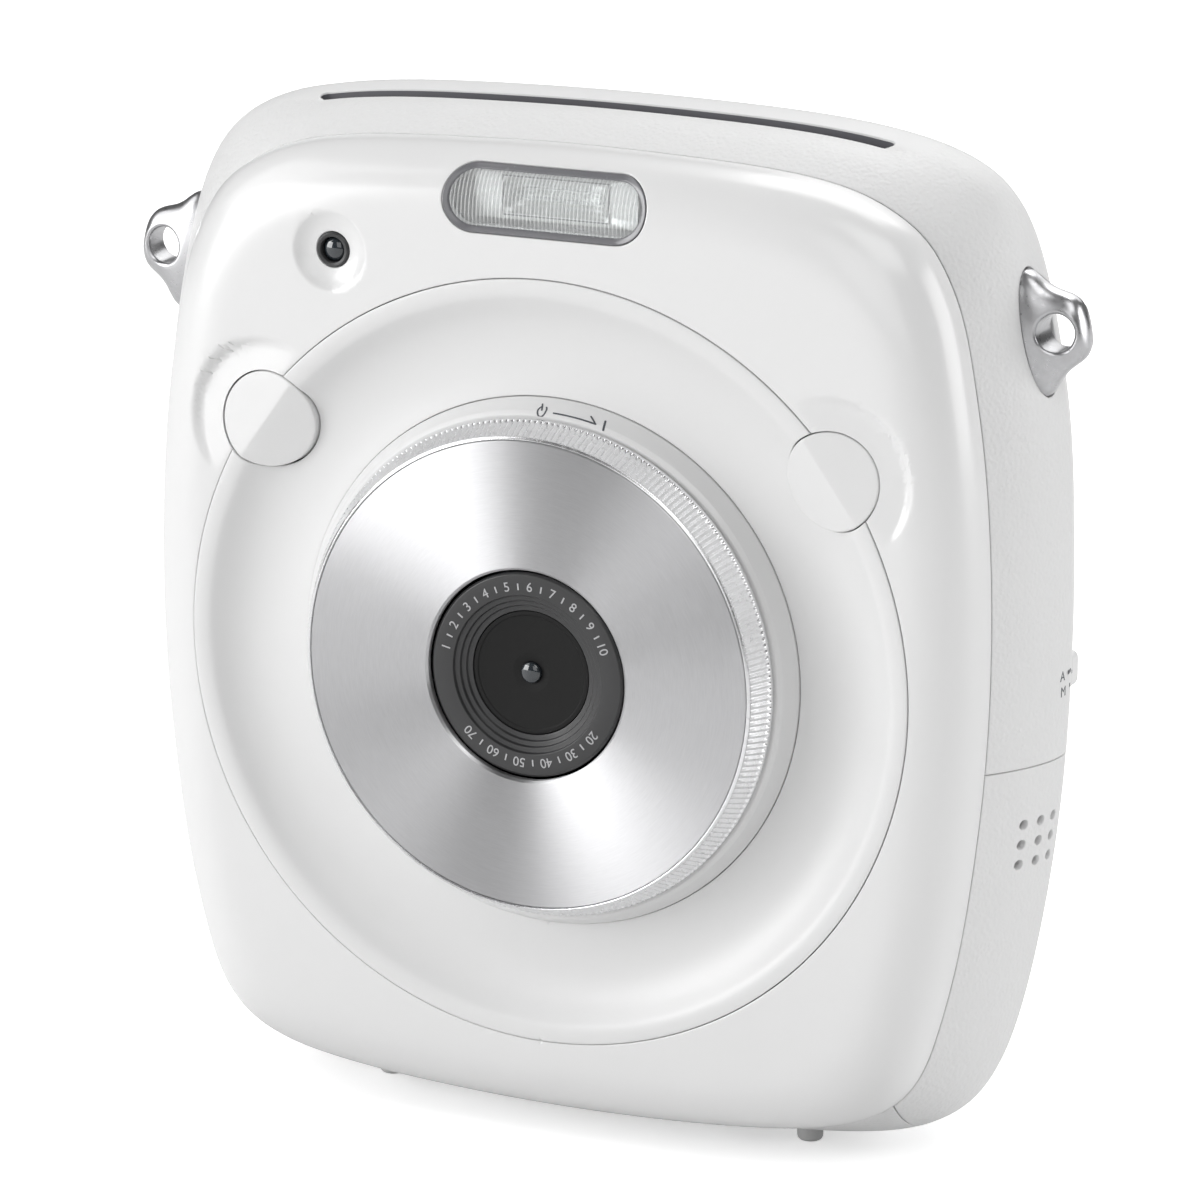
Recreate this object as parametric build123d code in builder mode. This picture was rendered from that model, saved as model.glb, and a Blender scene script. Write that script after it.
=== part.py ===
from build123d import *
import math
import os

# Instant camera with rollers, film pack, flash and rear film door.
# Millimetres, +Z up, the front faces -Y, +X is to the right as seen from the front.
# Origin: centre of the tripod socket's mouth on the underside.

os.makedirs("parts", exist_ok=True)

# ---------------------------------------------------------------- driving dimensions
OUTLINE_SCALE = 1.018  # brings the two outline tables to the real size
LENS_Z = 59.8  # height of the lens axis
Y_DISH = -20.0  # outer edge of the dish, the front of the cover
Y_CREST = -20.25  # crest of the dish rim and ridge of the shutter buttons
Y_SEAM = -12.15  # seam between front cover and frame
Y_REAR = 9.0  # seam between frame and rear cover
Y_BACK = 22.4  # back face
WALL = 2.2
GAP = 0.1  # joint line between two shell pieces
SIDE_TOP_Z = 51.15  # seam between upper frame and the lower side panels
BOTTOM_HALF = 42.85  # half distance between the seams beside the bottom cover
DISH_R = 46.83
COLLAR_R = 32.34
BUTTON_X, BUTTON_Z, BUTTON_R = 36.65, 86.17, 6.0
BUTTON_HOLE_R = BUTTON_R + 0.13
FLASH_Z, FLASH_L, FLASH_H = 115.6, 26.2, 8.04
LAMP_X, LAMP_Z = -27.9, 107.65
LUG_X, LUG_Y, LUG_Z, LUG_TILT = 58.0, -3.2, 103.0, 12.0
EYE_X, EYE_R = 58.4, 2.25  # eye of the strap lug
CHASSIS_REAR, CHASSIS_T = 5.1, 1.7  # the plate's rear face lies at y = -CHASSIS_REAR
DIAL_Z = 34.0

# half outlines, top to bottom: x, z from the lens axis; the rows of the two tables pair up
SEAM_OUTLINE = [
    (0, 60.7), (14, 60.4), (26, 59.75), (34.5, 58.4), (40.1, 56.2), (44.2, 53.2), (46.7, 49.6),
    (48.7, 44.9), (50.2, 38.5), (51.6, 30.0), (52.7, 18.5), (53.1, 5.0), (52.7, -7.5),
    (51.5, -19.8), (49.8, -31.0), (47.6, -40.2), (45.1, -46.7), (41.9, -50.4), (37.6, -52.7),
    (30.4, -54.4), (17.0, -55.7), (0, -56.2),
]
WIDEST_OUTLINE = [
    (0, 65.0), (14.5, 64.8), (27.5, 64.2), (37.0, 63.0), (43.6, 61.2), (48.2, 58.6), (51.2, 55.0),
    (53.6, 49.2), (55.6, 41.0), (57.2, 31.0), (58.0, 18.5), (58.2, 5.0), (57.8, -7.5),
    (56.7, -20.3), (54.9, -32.2), (52.6, -42.2), (49.7, -49.4), (45.9, -53.9), (40.4, -56.5),
    (31.5, -57.9), (17.0, -58.5), (0, -58.7),
]

# loft sections: y, blend from seam (0) to widest outline (1), inset
BODY_SECTIONS = [
    (-12.1, 0, 0), (-9.2, 0.40, 0), (-5.9, 0.74, 0), (-2.6, 0.95, 0), (0.0, 1.0, 0.0),
    (2.4, 1, 0.5), (5.45, 1, 1.75), (9.0, 1, 3.3), (12.0, 1, 4.8), (15.6, 1, 6.9),
    (18.6, 1, 9.1), (20.6, 1, 11.4), (21.8, 1, 13.8), (Y_BACK, 1, 16.4),
]
BODY_INNER_SECTIONS = [
    (-12.3, 0, WALL), (-9.2, 0.40, WALL), (-5.9, 0.74, WALL), (-2.6, 0.95, WALL),
    (0.0, 1.0, WALL), (2.4, 1, WALL + 0.5), (5.45, 1, WALL + 1.75), (9.0, 1, WALL + 3.3),
    (12.0, 1, WALL + 4.9), (15.6, 1, WALL + 7.4), (18.4, 1, WALL + 10.6), (20.0, 1, WALL + 14.5),
]
COVER_SECTIONS = [
    (Y_SEAM, 0, 0), (-14.2, 0, 0.22), (-16.0, 0, 0.85), (-17.5, 0, 1.9), (-18.6, 0, 3.2),
    (-19.4, 0, 4.8), (-19.85, 0, 6.3), (Y_DISH, 0, 7.9),
]
COVER_INNER_SECTIONS = [
    (Y_SEAM + 0.2, 0, WALL), (-14.0, 0, WALL + 0.3), (-15.6, 0, WALL + 1.1),
    (-16.8, 0, WALL + 2.3), (-17.5, 0, WALL + 3.8), (-17.8, 0, WALL + 5.6),
]

# ---------------------------------------------------------------- helpers
ALONG_X, ALONG_Y, ALONG_Z = (0, 90, 0), (90, 0, 0), (0, 0, 0)  # cylinder rotations
FRONT_CUT, FRONT_CUT_L = Plane.XZ.offset(10), 16  # start and length of cuts out through the front
CHASSIS_FRONT = Plane.XZ.offset(CHASSIS_REAR + CHASSIS_T)
LENS_AXIS = Axis((0, 0, LENS_Z), (0, 1, 0))
LENS_PROFILE = Plane(origin=(0, 0, LENS_Z), x_dir=(1, 0, 0), z_dir=(0, 0, 1))  # radius, y


def save(name, part):
    part.label = name
    export_step(part, f"parts/{name}.step")


def save_mirrored(name, part):
    with BuildPart() as mirrored:
        add(part.mirror(Plane.YZ))
    save(name, mirrored.part)


def boxes(size, *centres, mode=Mode.ADD):
    with Locations(*centres):
        Box(*size, mode=mode)


def rods(along, radius, length, *centres, mode=Mode.ADD):
    with Locations(*[Location(centre, along) for centre in centres]):
        Cylinder(radius, length, mode=mode)


def at_height(points, z):
    return [(x, y, z) for x, y in points]


def turned(*points):
    """Solid turned about the lens axis from a closed (radius, y) profile."""
    with BuildPart() as solid:
        with BuildSketch(LENS_PROFILE):
            with BuildLine():
                Polyline(*points, close=True)
            make_face()
        revolve(axis=LENS_AXIS)
    return solid.part


def outline(blend, inset):
    """Closed outline between the seam and the widest section, drawn in by inset."""
    half = [
        (
            OUTLINE_SCALE * ((1 - blend) * seam[0] + blend * widest[0]),
            OUTLINE_SCALE * ((1 - blend) * seam[1] + blend * widest[1]),
        )
        for seam, widest in zip(SEAM_OUTLINE, WIDEST_OUTLINE)
    ]
    half_width = max(x for x, z in half)
    top, low = half[0][1], half[-1][1]
    mid, half_height = (top + low) / 2, (top - low) / 2
    right = [
        (x * (1 - inset / half_width), LENS_Z + mid + (z - mid) * (1 - inset / half_height))
        for x, z in half
    ]
    return right + [(-x, z) for x, z in reversed(right[1:-1])]


def envelope(sections):
    with BuildPart() as solid:
        for y, blend, inset in sections:
            with BuildSketch(Plane.XZ.offset(-y)):
                with BuildLine():
                    Spline(*outline(blend, inset), periodic=True)
                make_face()
        loft()
    return solid.part


# shapes only, not pieces
body_outer = envelope(BODY_SECTIONS)
body_inner = envelope(BODY_INNER_SECTIONS)
cover_outer = envelope(COVER_SECTIONS)
cover_inner = envelope(COVER_INNER_SECTIONS)


def body_piece(centre, size):
    """The part of the hollow body shell that lies in a box."""
    with BuildPart() as piece:
        add(body_outer)
        add(body_inner, mode=Mode.SUBTRACT)
        boxes(size, centre, mode=Mode.INTERSECT)
    return piece.part


def frame_piece(x, z, width, height):
    """Body shell piece between the front and rear seams."""
    y_front = Y_SEAM + GAP
    return body_piece((x, (y_front + Y_REAR) / 2, z), (width, Y_REAR - y_front, height))


# Each button's top is a roof: one half follows the dish inward, the other half
# runs out into a circular scoop in the cover.
BUTTON_DIST = math.hypot(BUTTON_X, BUTTON_Z - LENS_Z)
OUT_TILT, IN_TILT = math.radians(8.0), math.radians(20.0)
SCOOP_R = 9.9


def button_planes(side):
    """Outer and inner roof planes of the button on one side (+1 or -1)."""
    outward = Vector(side * BUTTON_X / BUTTON_DIST, 0, (BUTTON_Z - LENS_Z) / BUTTON_DIST)
    forward = Vector(0, -1, 0)
    return [
        Plane(
            Vector(side * BUTTON_X, Y_CREST, BUTTON_Z),
            x_dir=outward * math.cos(tilt) - forward * math.sin(tilt),
            z_dir=outward * math.sin(tilt) + forward * math.cos(tilt),
        )
        for tilt in (OUT_TILT, -IN_TILT)
    ]


# ---------------------------------------------------------------- front cover
LAMP_HOLE_R = 2.2
SINK_R, SINK_Y, SINK_DEPTH, SINK_TAPER = 4.75, -20.05, 1.15, 62  # around the lamp

with BuildPart() as front_cover:
    add(cover_outer)
    add(cover_inner, mode=Mode.SUBTRACT)
    # opening for the dish
    with BuildSketch(FRONT_CUT):
        with Locations((0, LENS_Z)):
            Circle(DISH_R + GAP)
    extrude(amount=FRONT_CUT_L, mode=Mode.SUBTRACT)
    # scoops beside the two shutter buttons
    for side in (1, -1):
        with BuildSketch(button_planes(side)[0]):
            Circle(SCOOP_R)
        extrude(amount=4, mode=Mode.SUBTRACT)
    # flash, lamp and button openings
    with BuildSketch(FRONT_CUT):
        with Locations((0, FLASH_Z)):
            SlotOverall(FLASH_L + 2 * GAP, FLASH_H + 2 * GAP)
        with Locations((LAMP_X, LAMP_Z)):
            Circle(LAMP_HOLE_R)
        with Locations((BUTTON_X, BUTTON_Z), (-BUTTON_X, BUTTON_Z)):
            Circle(BUTTON_HOLE_R)
    extrude(amount=FRONT_CUT_L, mode=Mode.SUBTRACT)
    # countersink around the lamp
    with BuildSketch(Plane.XZ.offset(-SINK_Y)):
        with Locations((LAMP_X, LAMP_Z)):
            Circle(SINK_R)
    extrude(amount=-SINK_DEPTH, taper=SINK_TAPER, mode=Mode.SUBTRACT)
save("front_cover", front_cover.part)

# ---------------------------------------------------------------- dish panel
DISH_EDGE_REAR = -18.0
DISH_BORE_R = COLLAR_R + GAP

# turned about the origin's Y axis, then raised to the lens axis
with BuildPart() as dish_panel:
    with BuildSketch(Plane.XY):
        with BuildLine():
            edge = Line((DISH_R, DISH_EDGE_REAR), (DISH_R, Y_DISH))
            rim = Line(edge @ 1, (45.4, Y_CREST))
            bowl = Spline(
                rim @ 1, (43.9, -19.4), (41.8, -18.1), (38.5, -17.27), (DISH_BORE_R, -17.6)
            )
            Polyline(
                bowl @ 1, (DISH_BORE_R, -15.75), (38.0, -15.35), (44.5, -15.9),
                (DISH_R, DISH_EDGE_REAR),
            )
        make_face()
    revolve(axis=Axis.Y)
    for side in (1, -1):
        with BuildSketch(FRONT_CUT):
            with Locations((side * BUTTON_X, BUTTON_Z - LENS_Z)):
                Circle(BUTTON_HOLE_R)
        extrude(amount=FRONT_CUT_L, mode=Mode.SUBTRACT)
save("dish_panel", dish_panel.part.moved(Location((0, 0, LENS_Z))))

# ---------------------------------------------------------------- lens collar
save("lens_collar", turned(
    (COLLAR_R, -17.75), (30.95, -20.15), (30.6, -20.45), (30.0, -20.45), (30.0, -14.2),
    (34.0, -14.2), (34.0, -15.5), (COLLAR_R, -15.65),
))

# ---------------------------------------------------------------- power ring
RING_FRONT, RING_REAR = -24.67, -20.75  # y of the conical band's ends
BAND_FRONT_R, BAND_REAR_R, BAND_BORE_R = 29.15, 30.5, 28.6
KNURLS, KNURL_DEPTH = 120, 0.28
FACE_SEAT_Y = -23.45  # seat of the ring's face plate


def knurl_outline(tip_r, root_r):
    """Straight-sided ridges round a circle."""
    points = []
    for i in range(KNURLS):
        for step, radius in ((0.0, tip_r), (0.5, root_r)):
            angle = 2 * math.pi * (i + step) / KNURLS
            points.append((radius * math.cos(angle), radius * math.sin(angle)))
    return points


ring_core = turned(
    (28.55, RING_FRONT), (28.75, RING_FRONT), (28.95, RING_FRONT + 0.2),
    (28.75, RING_FRONT + 0.6), (29.95, RING_REAR - 0.35), (30.35, RING_REAR - 0.1),
    (30.35, RING_REAR), (29.92, RING_REAR), (29.92, -14.1), (31.6, -14.1),
    (31.6, -12.95), (26.5, -12.95), (26.5, FACE_SEAT_Y), (28.55, FACE_SEAT_Y),
)
with BuildPart() as power_ring:
    add(ring_core)
    # straight knurl on the conical band
    for y, tip_r in ((RING_FRONT + 0.55, BAND_FRONT_R), (RING_REAR - 0.35, BAND_REAR_R)):
        with BuildSketch(Plane(origin=(0, y, LENS_Z), x_dir=(1, 0, 0), z_dir=(0, -1, 0))):
            with BuildLine():
                Polyline(*knurl_outline(tip_r, tip_r - KNURL_DEPTH), close=True)
            make_face()
            Circle(BAND_BORE_R, mode=Mode.SUBTRACT)
    loft(ruled=True)
save("power_ring", power_ring.part)

# ---------------------------------------------------------------- ring face plate
FACE_R, FACE_BORE_R, FACE_T = 28.45, 12.85, 1.05

with BuildPart() as ring_face_plate:
    with BuildSketch(Plane.XZ.offset(-FACE_SEAT_Y)):
        with Locations((0, LENS_Z)):
            Circle(FACE_R)
            Circle(FACE_BORE_R, mode=Mode.SUBTRACT)
    extrude(amount=FACE_T)
    front_rims = ring_face_plate.edges().filter_by(GeomType.CIRCLE).group_by(Axis.Y)[0]
    chamfer(front_rims.sort_by(SortBy.RADIUS)[0], 0.3)
save("ring_face_plate", ring_face_plate.part)

# ---------------------------------------------------------------- lens
BARREL_R = 12.5
BARREL_FRONT = -22.0


def cap_point(rim_r, rim_y, height):
    """Middle of a spherical cap's profile arc; the crown lies at rim_y + height."""
    sphere_r = (rim_r**2 + height**2) / (2 * abs(height))
    angle = math.asin(min(1.0, rim_r / sphere_r)) / 2
    drop = math.copysign(sphere_r * (1 - math.cos(angle)), height)
    return (sphere_r * math.sin(angle), rim_y + height - drop)


# stepped front bezel
save("lens_bezel", turned(
    (BARREL_R, -23.75), (12.3, -23.95), (9.6, -23.95), (9.5, -23.6), (8.9, -23.6),
    (8.8, -23.3), (8.2, -23.3), (8.1, -23.0), (7.55, -23.0), (7.55, BARREL_FRONT),
    (BARREL_R, BARREL_FRONT),
))

# disc that holds the front lens in its bore
save("lens_disc", turned(
    (1.3, -22.6), (7.5, -22.6), (7.5, BARREL_FRONT), (8.3, BARREL_FRONT), (8.3, -21.2),
    (1.3, -21.2),
))

FRONT_LENS_R, FRONT_LENS_RIM, FRONT_LENS_BULGE = 1.25, -22.75, -0.5
FRONT_LENS_REAR = -20.6
with BuildPart() as front_lens:
    with BuildSketch(LENS_PROFILE):
        with BuildLine():
            crown = (0, FRONT_LENS_RIM + FRONT_LENS_BULGE)
            rim = (FRONT_LENS_R, FRONT_LENS_RIM)
            Polyline(crown, (0, FRONT_LENS_REAR), (FRONT_LENS_R, FRONT_LENS_REAR), rim)
            ThreePointArc(rim, cap_point(*rim, FRONT_LENS_BULGE), crown)
        make_face()
    revolve(axis=LENS_AXIS)
save("front_lens", front_lens.part)

BARREL_BORE_R = 6.5
save("lens_barrel", turned(
    (BARREL_R, BARREL_FRONT), (8.35, BARREL_FRONT), (8.35, -21.15), (BARREL_BORE_R, -21.15),
    (BARREL_BORE_R, -14.0), (BARREL_BORE_R, -9.0), (9.0, -9.0), (9.0, -7.9), (11.5, -7.9),
    (11.5, -14.0), (BARREL_R, -15.0),
))

FRONT_BULGE, REAR_BULGE = -0.8, 1.6
with BuildPart() as rear_lens:
    with BuildSketch(LENS_PROFILE):
        with BuildLine():
            front_rim, rear_rim = (BARREL_BORE_R, -16.2), (BARREL_BORE_R, -13.8)
            front_crown, rear_crown = (0, -17.0), (0, -12.2)
            Line(front_crown, rear_crown)
            ThreePointArc(rear_crown, cap_point(*rear_rim, REAR_BULGE), rear_rim)
            Line(rear_rim, front_rim)
            ThreePointArc(front_rim, cap_point(*front_rim, FRONT_BULGE), front_crown)
        make_face()
    revolve(axis=LENS_AXIS)
save("rear_lens", rear_lens.part)

# ---------------------------------------------------------------- image sensor
CARRIER_T = 1.1

with BuildPart() as image_sensor:
    with BuildSketch(CHASSIS_FRONT):
        with Locations((0, LENS_Z)):
            RectangleRounded(22, 16, 1)
    extrude(amount=CARRIER_T)
    with BuildSketch(CHASSIS_FRONT.offset(CARRIER_T)):
        with Locations((0, LENS_Z)):
            Rectangle(9, 7)
    extrude(amount=0.9)
save("image_sensor", image_sensor.part)

# ---------------------------------------------------------------- flash
BEZEL_TRIM = 2.1  # what the bezel's opening is smaller by than its outline
WINDOW_TRIM = 2.16
WINDOW_SINK = 0.35  # window surface behind the cover surface
TROUGH_FRONT = -16.1
TUBE_AT, TUBE_R = (0, -13.4, FLASH_Z), 1.0

with BuildPart() as flash_bezel:
    add(cover_outer)
    with BuildSketch(Plane.XZ.offset(15.4)):
        with Locations((0, FLASH_Z)):
            SlotOverall(FLASH_L, FLASH_H)
            SlotOverall(FLASH_L - BEZEL_TRIM, FLASH_H - BEZEL_TRIM, mode=Mode.SUBTRACT)
    extrude(amount=6, mode=Mode.INTERSECT)
save("flash_bezel", flash_bezel.part)

with BuildPart() as flash_window:
    add(cover_outer.moved(Location((0, WINDOW_SINK, 0))))
    with BuildSketch(Plane.XZ.offset(16.2)):
        with Locations((0, FLASH_Z)):
            SlotOverall(FLASH_L - WINDOW_TRIM, FLASH_H - WINDOW_TRIM)
    extrude(amount=6, mode=Mode.INTERSECT)
save("flash_window", flash_window.part)

with BuildPart() as flash_reflector:
    with BuildSketch(Plane.XZ.offset(-TROUGH_FRONT)):
        with Locations((0, FLASH_Z)):
            RectangleRounded(21, 5.7, 0.8)
    extrude(amount=-4.5)
    # flared trough, wide at the window
    with BuildSketch(Plane.XZ.offset(-TROUGH_FRONT)):
        with Locations((0, FLASH_Z)):
            Rectangle(13.6, 4.6)
    extrude(amount=-3.7, taper=13, mode=Mode.SUBTRACT)
    rods(ALONG_X, TUBE_R + 0.1, 22, TUBE_AT, mode=Mode.SUBTRACT)
save("flash_reflector", flash_reflector.part)

with BuildPart() as flash_tube:
    rods(ALONG_X, TUBE_R, 23, TUBE_AT)
save("flash_tube", flash_tube.part)

# ---------------------------------------------------------------- lamp
LAMP_RING_R, LAMP_BORE_R, LAMP_LENS_R = 2.12, 1.5, 1.47

with BuildPart() as lamp_ring:
    with BuildSketch(Plane.XZ.offset(14.8)):
        with Locations((LAMP_X, LAMP_Z)):
            Circle(LAMP_RING_R)
            Circle(LAMP_BORE_R, mode=Mode.SUBTRACT)
    extrude(amount=4.4)
save("lamp_ring", lamp_ring.part)

with BuildPart() as lamp_lens:
    with BuildSketch(Plane.XZ.offset(15.6)):
        with Locations((LAMP_X, LAMP_Z)):
            Circle(LAMP_LENS_R)
    extrude(amount=3.2)
    fillet(lamp_lens.edges().group_by(Axis.Y)[0], 0.9)
save("lamp_lens", lamp_lens.part)

# ---------------------------------------------------------------- shutter buttons and switches
# body, flange and stem: y of the rear face, radius, length
BUTTON_STEPS = [(-15.0, BUTTON_R, 8), (-13.8, 6.9, 1.2), (-12.4, 1.6, 1.4)]

with BuildPart() as shutter_button:
    for y, radius, length in BUTTON_STEPS:
        with BuildSketch(Plane.XZ.offset(-y)):
            with Locations((BUTTON_X, BUTTON_Z)):
                Circle(radius)
        extrude(amount=length)
    for plane in button_planes(1):
        with BuildSketch(plane):
            Rectangle(24, 24)
        extrude(amount=8, mode=Mode.SUBTRACT)
save("shutter_button_right", shutter_button.part)
save_mirrored("shutter_button_left", shutter_button.part)

SWITCH_BODY_T = 3.9
with BuildPart() as shutter_switches:
    with BuildSketch(CHASSIS_FRONT):
        with Locations((BUTTON_X, BUTTON_Z), (-BUTTON_X, BUTTON_Z)):
            RectangleRounded(6, 6, 0.5)
    extrude(amount=SWITCH_BODY_T)
    with BuildSketch(CHASSIS_FRONT.offset(SWITCH_BODY_T)):
        with Locations((BUTTON_X, BUTTON_Z), (-BUTTON_X, BUTTON_Z)):
            Circle(1.7)
    extrude(amount=0.8)
save("shutter_switches", shutter_switches.part)

# ---------------------------------------------------------------- upper frame
SLOT_Y, SLOT_L, SLOT_W = -3.6, 75.0, 1.6  # print slot
SLOT_FRONT, SLOT_REAR = SLOT_Y - SLOT_W / 2, SLOT_Y + SLOT_W / 2
LIP_HALF, LIP_REAR = 46, 1.4
LIP_CUT_TOP = 129  # above the frame
MODE_Y, MODE_Z = 4.6, 60.4  # mode switch


def lug_plane(side):
    """Base plane of a strap lug: origin on the frame's side, normal outward and tilted up."""
    tilt = math.radians(LUG_TILT)
    return Plane(
        origin=(side * LUG_X, LUG_Y, LUG_Z),
        x_dir=(0, 1, 0),
        z_dir=(side * math.cos(tilt), 0, math.sin(tilt)),
    )


upper_shell = frame_piece(0, SIDE_TOP_Z + 50, 140, 100)
with BuildPart() as upper_frame:
    add(upper_shell)
    # print slot through the top wall, with the wide scooped lip behind it
    boxes((SLOT_L, SLOT_W, 16), (0, SLOT_Y, 124), mode=Mode.SUBTRACT)
    with BuildSketch(Plane.YZ.offset(-LIP_HALF)):
        with BuildLine():
            Polyline(
                (SLOT_FRONT, 123.75), (SLOT_REAR, 124.0), (LIP_REAR, 126.35),
                (LIP_REAR, LIP_CUT_TOP), (SLOT_FRONT, LIP_CUT_TOP), close=True,
            )
        make_face()
    extrude(amount=2 * LIP_HALF, mode=Mode.SUBTRACT)
    # seats of the strap lugs
    for side in (1, -1):
        with BuildSketch(lug_plane(side).offset(-8)):
            Ellipse(2.95, 7.75)
        extrude(amount=14, mode=Mode.SUBTRACT)
    # shallow groove behind each eye, so that a strap ring passes
    groove_centres = [(side * EYE_X, 2.4, LUG_Z) for side in (1, -1)]
    rods(ALONG_Y, EYE_R + 0.35, 6.4, *groove_centres, mode=Mode.SUBTRACT)
    # recess of the mode switch, and its slot
    boxes((2.4, 6.8, 15.9), (58.0, 5.8, 59.0), mode=Mode.SUBTRACT)
    boxes((9, 1.7, 7.2), (56.5, MODE_Y, 59.5), mode=Mode.SUBTRACT)
save("upper_frame", upper_frame.part)

# ---------------------------------------------------------------- strap lugs
# height over the lug plane, half width along Y, half height
LUG_SECTIONS = [
    (-7.8, 2.8, 7.6), (-2.6, 2.8, 7.6), (-1.2, 2.65, 6.9), (0.6, 2.5, 4.9), (2.2, 2.3, 4.1),
    (3.4, 1.5, 2.9), (3.9, 0.7, 1.6),
]

with BuildPart() as strap_lug:
    # elliptical base narrowing to the eye
    for height, half_y, half_z in LUG_SECTIONS:
        with BuildSketch(lug_plane(1).offset(height)):
            Ellipse(half_y, half_z)
    loft(ruled=True)
    with BuildSketch(Plane.XZ.offset(10)):
        with Locations((EYE_X, LUG_Z)):
            Circle(EYE_R)
    extrude(amount=-20, mode=Mode.SUBTRACT)
    # foot plate behind the wall
    with BuildSketch(lug_plane(1).offset(-8.6)):
        RectangleRounded(8.6, 17.4, 1.5)
    extrude(amount=1.25)
save("strap_lug_right", strap_lug.part)
save_mirrored("strap_lug_left", strap_lug.part)

# ---------------------------------------------------------------- mode switch
with BuildPart() as mode_switch:
    # knob in the recess, neck through the slot, plate behind the wall
    with BuildSketch(Plane.YZ.offset(56.95)):
        with Locations((MODE_Y, MODE_Z)):
            RectangleRounded(3.4, 4.6, 1.2)
    extrude(amount=1.4)
    fillet(mode_switch.edges().group_by(Axis.X)[-1], 0.6)
    boxes((3.0, 1.5, 4.0), (55.5, MODE_Y, MODE_Z))
    boxes((1.0, 4.4, 5.0), (53.6, MODE_Y, MODE_Z))
save("mode_switch", mode_switch.part)

# ---------------------------------------------------------------- side panel with speaker
SIDE_CUT = 100  # size of the box that cuts a side panel out of the shell
SIDE_CUT_X = BOTTOM_HALF + GAP / 2 + SIDE_CUT / 2
SIDE_CUT_Z = SIDE_TOP_Z - GAP - SIDE_CUT / 2
SPEAKER_Y, SPEAKER_Z = -3.9, 41.5
GRILLE_PITCH_Y, GRILLE_PITCH_Z, GRILLE_R = 2.7, 2.5, 0.6
GRILLE = [
    (56, SPEAKER_Y + column * GRILLE_PITCH_Y, SPEAKER_Z + row * GRILLE_PITCH_Z)
    for column in (-1, 0, 1)
    for row in (1, 0, -1)
]

side_shell = frame_piece(SIDE_CUT_X, SIDE_CUT_Z, SIDE_CUT, SIDE_CUT)
with BuildPart() as side_panel:
    add(side_shell)
    rods(ALONG_X, GRILLE_R, 14, *GRILLE, mode=Mode.SUBTRACT)
save("side_panel", side_panel.part)

with BuildPart() as speaker:
    rods(ALONG_X, 5.6, 2.6, (50.3, SPEAKER_Y, SPEAKER_Z))
save("speaker", speaker.part)

# ---------------------------------------------------------------- battery door
# opposite panel: battery and card door, which pulls straight off sideways
battery_shell = frame_piece(-SIDE_CUT_X, SIDE_CUT_Z, SIDE_CUT, SIDE_CUT)
with BuildPart() as battery_door:
    add(battery_shell)
    # finger notch near the top edge
    boxes((2.6, 9.0, 2.4), (-60.0, 0.0, 46.5), mode=Mode.SUBTRACT)
save("battery_door", battery_door.part)

# ---------------------------------------------------------------- bottom cover
SCREWS = [(x, y) for y in (-5, 4) for x in (22, -22)]
FEET = [(x, y) for y in (-3.2, 6.0) for x in (28.5, -28.5)]
SCREW_R, SCREW_HEAD_R, BOSS_R = 0.95, 1.9, 2.4
FOOT_R = 1.6
SOCKET_R, SOCKET_H = 4.45, 7.0

bottom_shell = frame_piece(0, 0, 2 * BOTTOM_HALF - GAP, 60)
with BuildPart() as bottom_cover:
    add(bottom_shell)
    # bosses with clearance holes and counterbores for the screws
    rods(ALONG_Z, BOSS_R, 2.4, *at_height(SCREWS, 4.0))
    rods(ALONG_Z, SCREW_R + 0.1, 12, *at_height(SCREWS, 3.0), mode=Mode.SUBTRACT)
    rods(ALONG_Z, SCREW_HEAD_R + 0.1, 6.0, *at_height(SCREWS, 0.0), mode=Mode.SUBTRACT)
    # hole for the tripod socket
    rods(ALONG_Z, SOCKET_R + 0.05, 8, (0, 0, 1), mode=Mode.SUBTRACT)
    # seats of the feet
    rods(ALONG_Z, FOOT_R + 0.1, 4.0, *at_height(FEET, -0.8), mode=Mode.SUBTRACT)
save("bottom_cover", bottom_cover.part)

with BuildPart() as tripod_socket:
    rods(ALONG_Z, SOCKET_R, SOCKET_H, (0, 0, SOCKET_H / 2))
    # flange, then the blind bore
    rods(ALONG_Z, 6.0, 1.8, (0, 0, 5.6))
    rods(ALONG_Z, 2.6, 5.5, (0, 0, 2.75), mode=Mode.SUBTRACT)
save("tripod_socket", tripod_socket.part)

with BuildPart() as feet:
    rods(ALONG_Z, FOOT_R, 1.9, *at_height(FEET, 0.25))
    chamfer(feet.edges().filter_by(GeomType.CIRCLE).group_by(Axis.Z)[0], 0.45)
save("feet", feet.part)

with BuildPart() as case_screws:
    rods(ALONG_Z, SCREW_HEAD_R, 1.3, *at_height(SCREWS, 2.35))
    rods(ALONG_Z, SCREW_R, 7.0, *at_height(SCREWS, 6.5))
    # cross recess in each head
    for recess in ((2.2, 0.5, 0.8), (0.5, 2.2, 0.8)):
        boxes(recess, *at_height(SCREWS, 1.9), mode=Mode.SUBTRACT)
save("case_screws", case_screws.part)

# ---------------------------------------------------------------- rear cover
DOOR_W, DOOR_LOW, DOOR_TOP, DOOR_R = 90.1, 12.5, 109.0, 9.0
DOOR_MID, DOOR_H = (DOOR_LOW + DOOR_TOP) / 2, DOOR_TOP - DOOR_LOW
HINGE_X, HINGE_Y = -42.4, 20.1
EAR_LEVELS = (39.0, 83.0)  # heights of the two hinge ears
EAR_ROOT_X = -46.2
EAR_L, EAR_R, PIN_L, PIN_R = 6.0, 2.1, 14.0, 1.0
HINGES = [(HINGE_X, HINGE_Y, z) for z in EAR_LEVELS]

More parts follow.
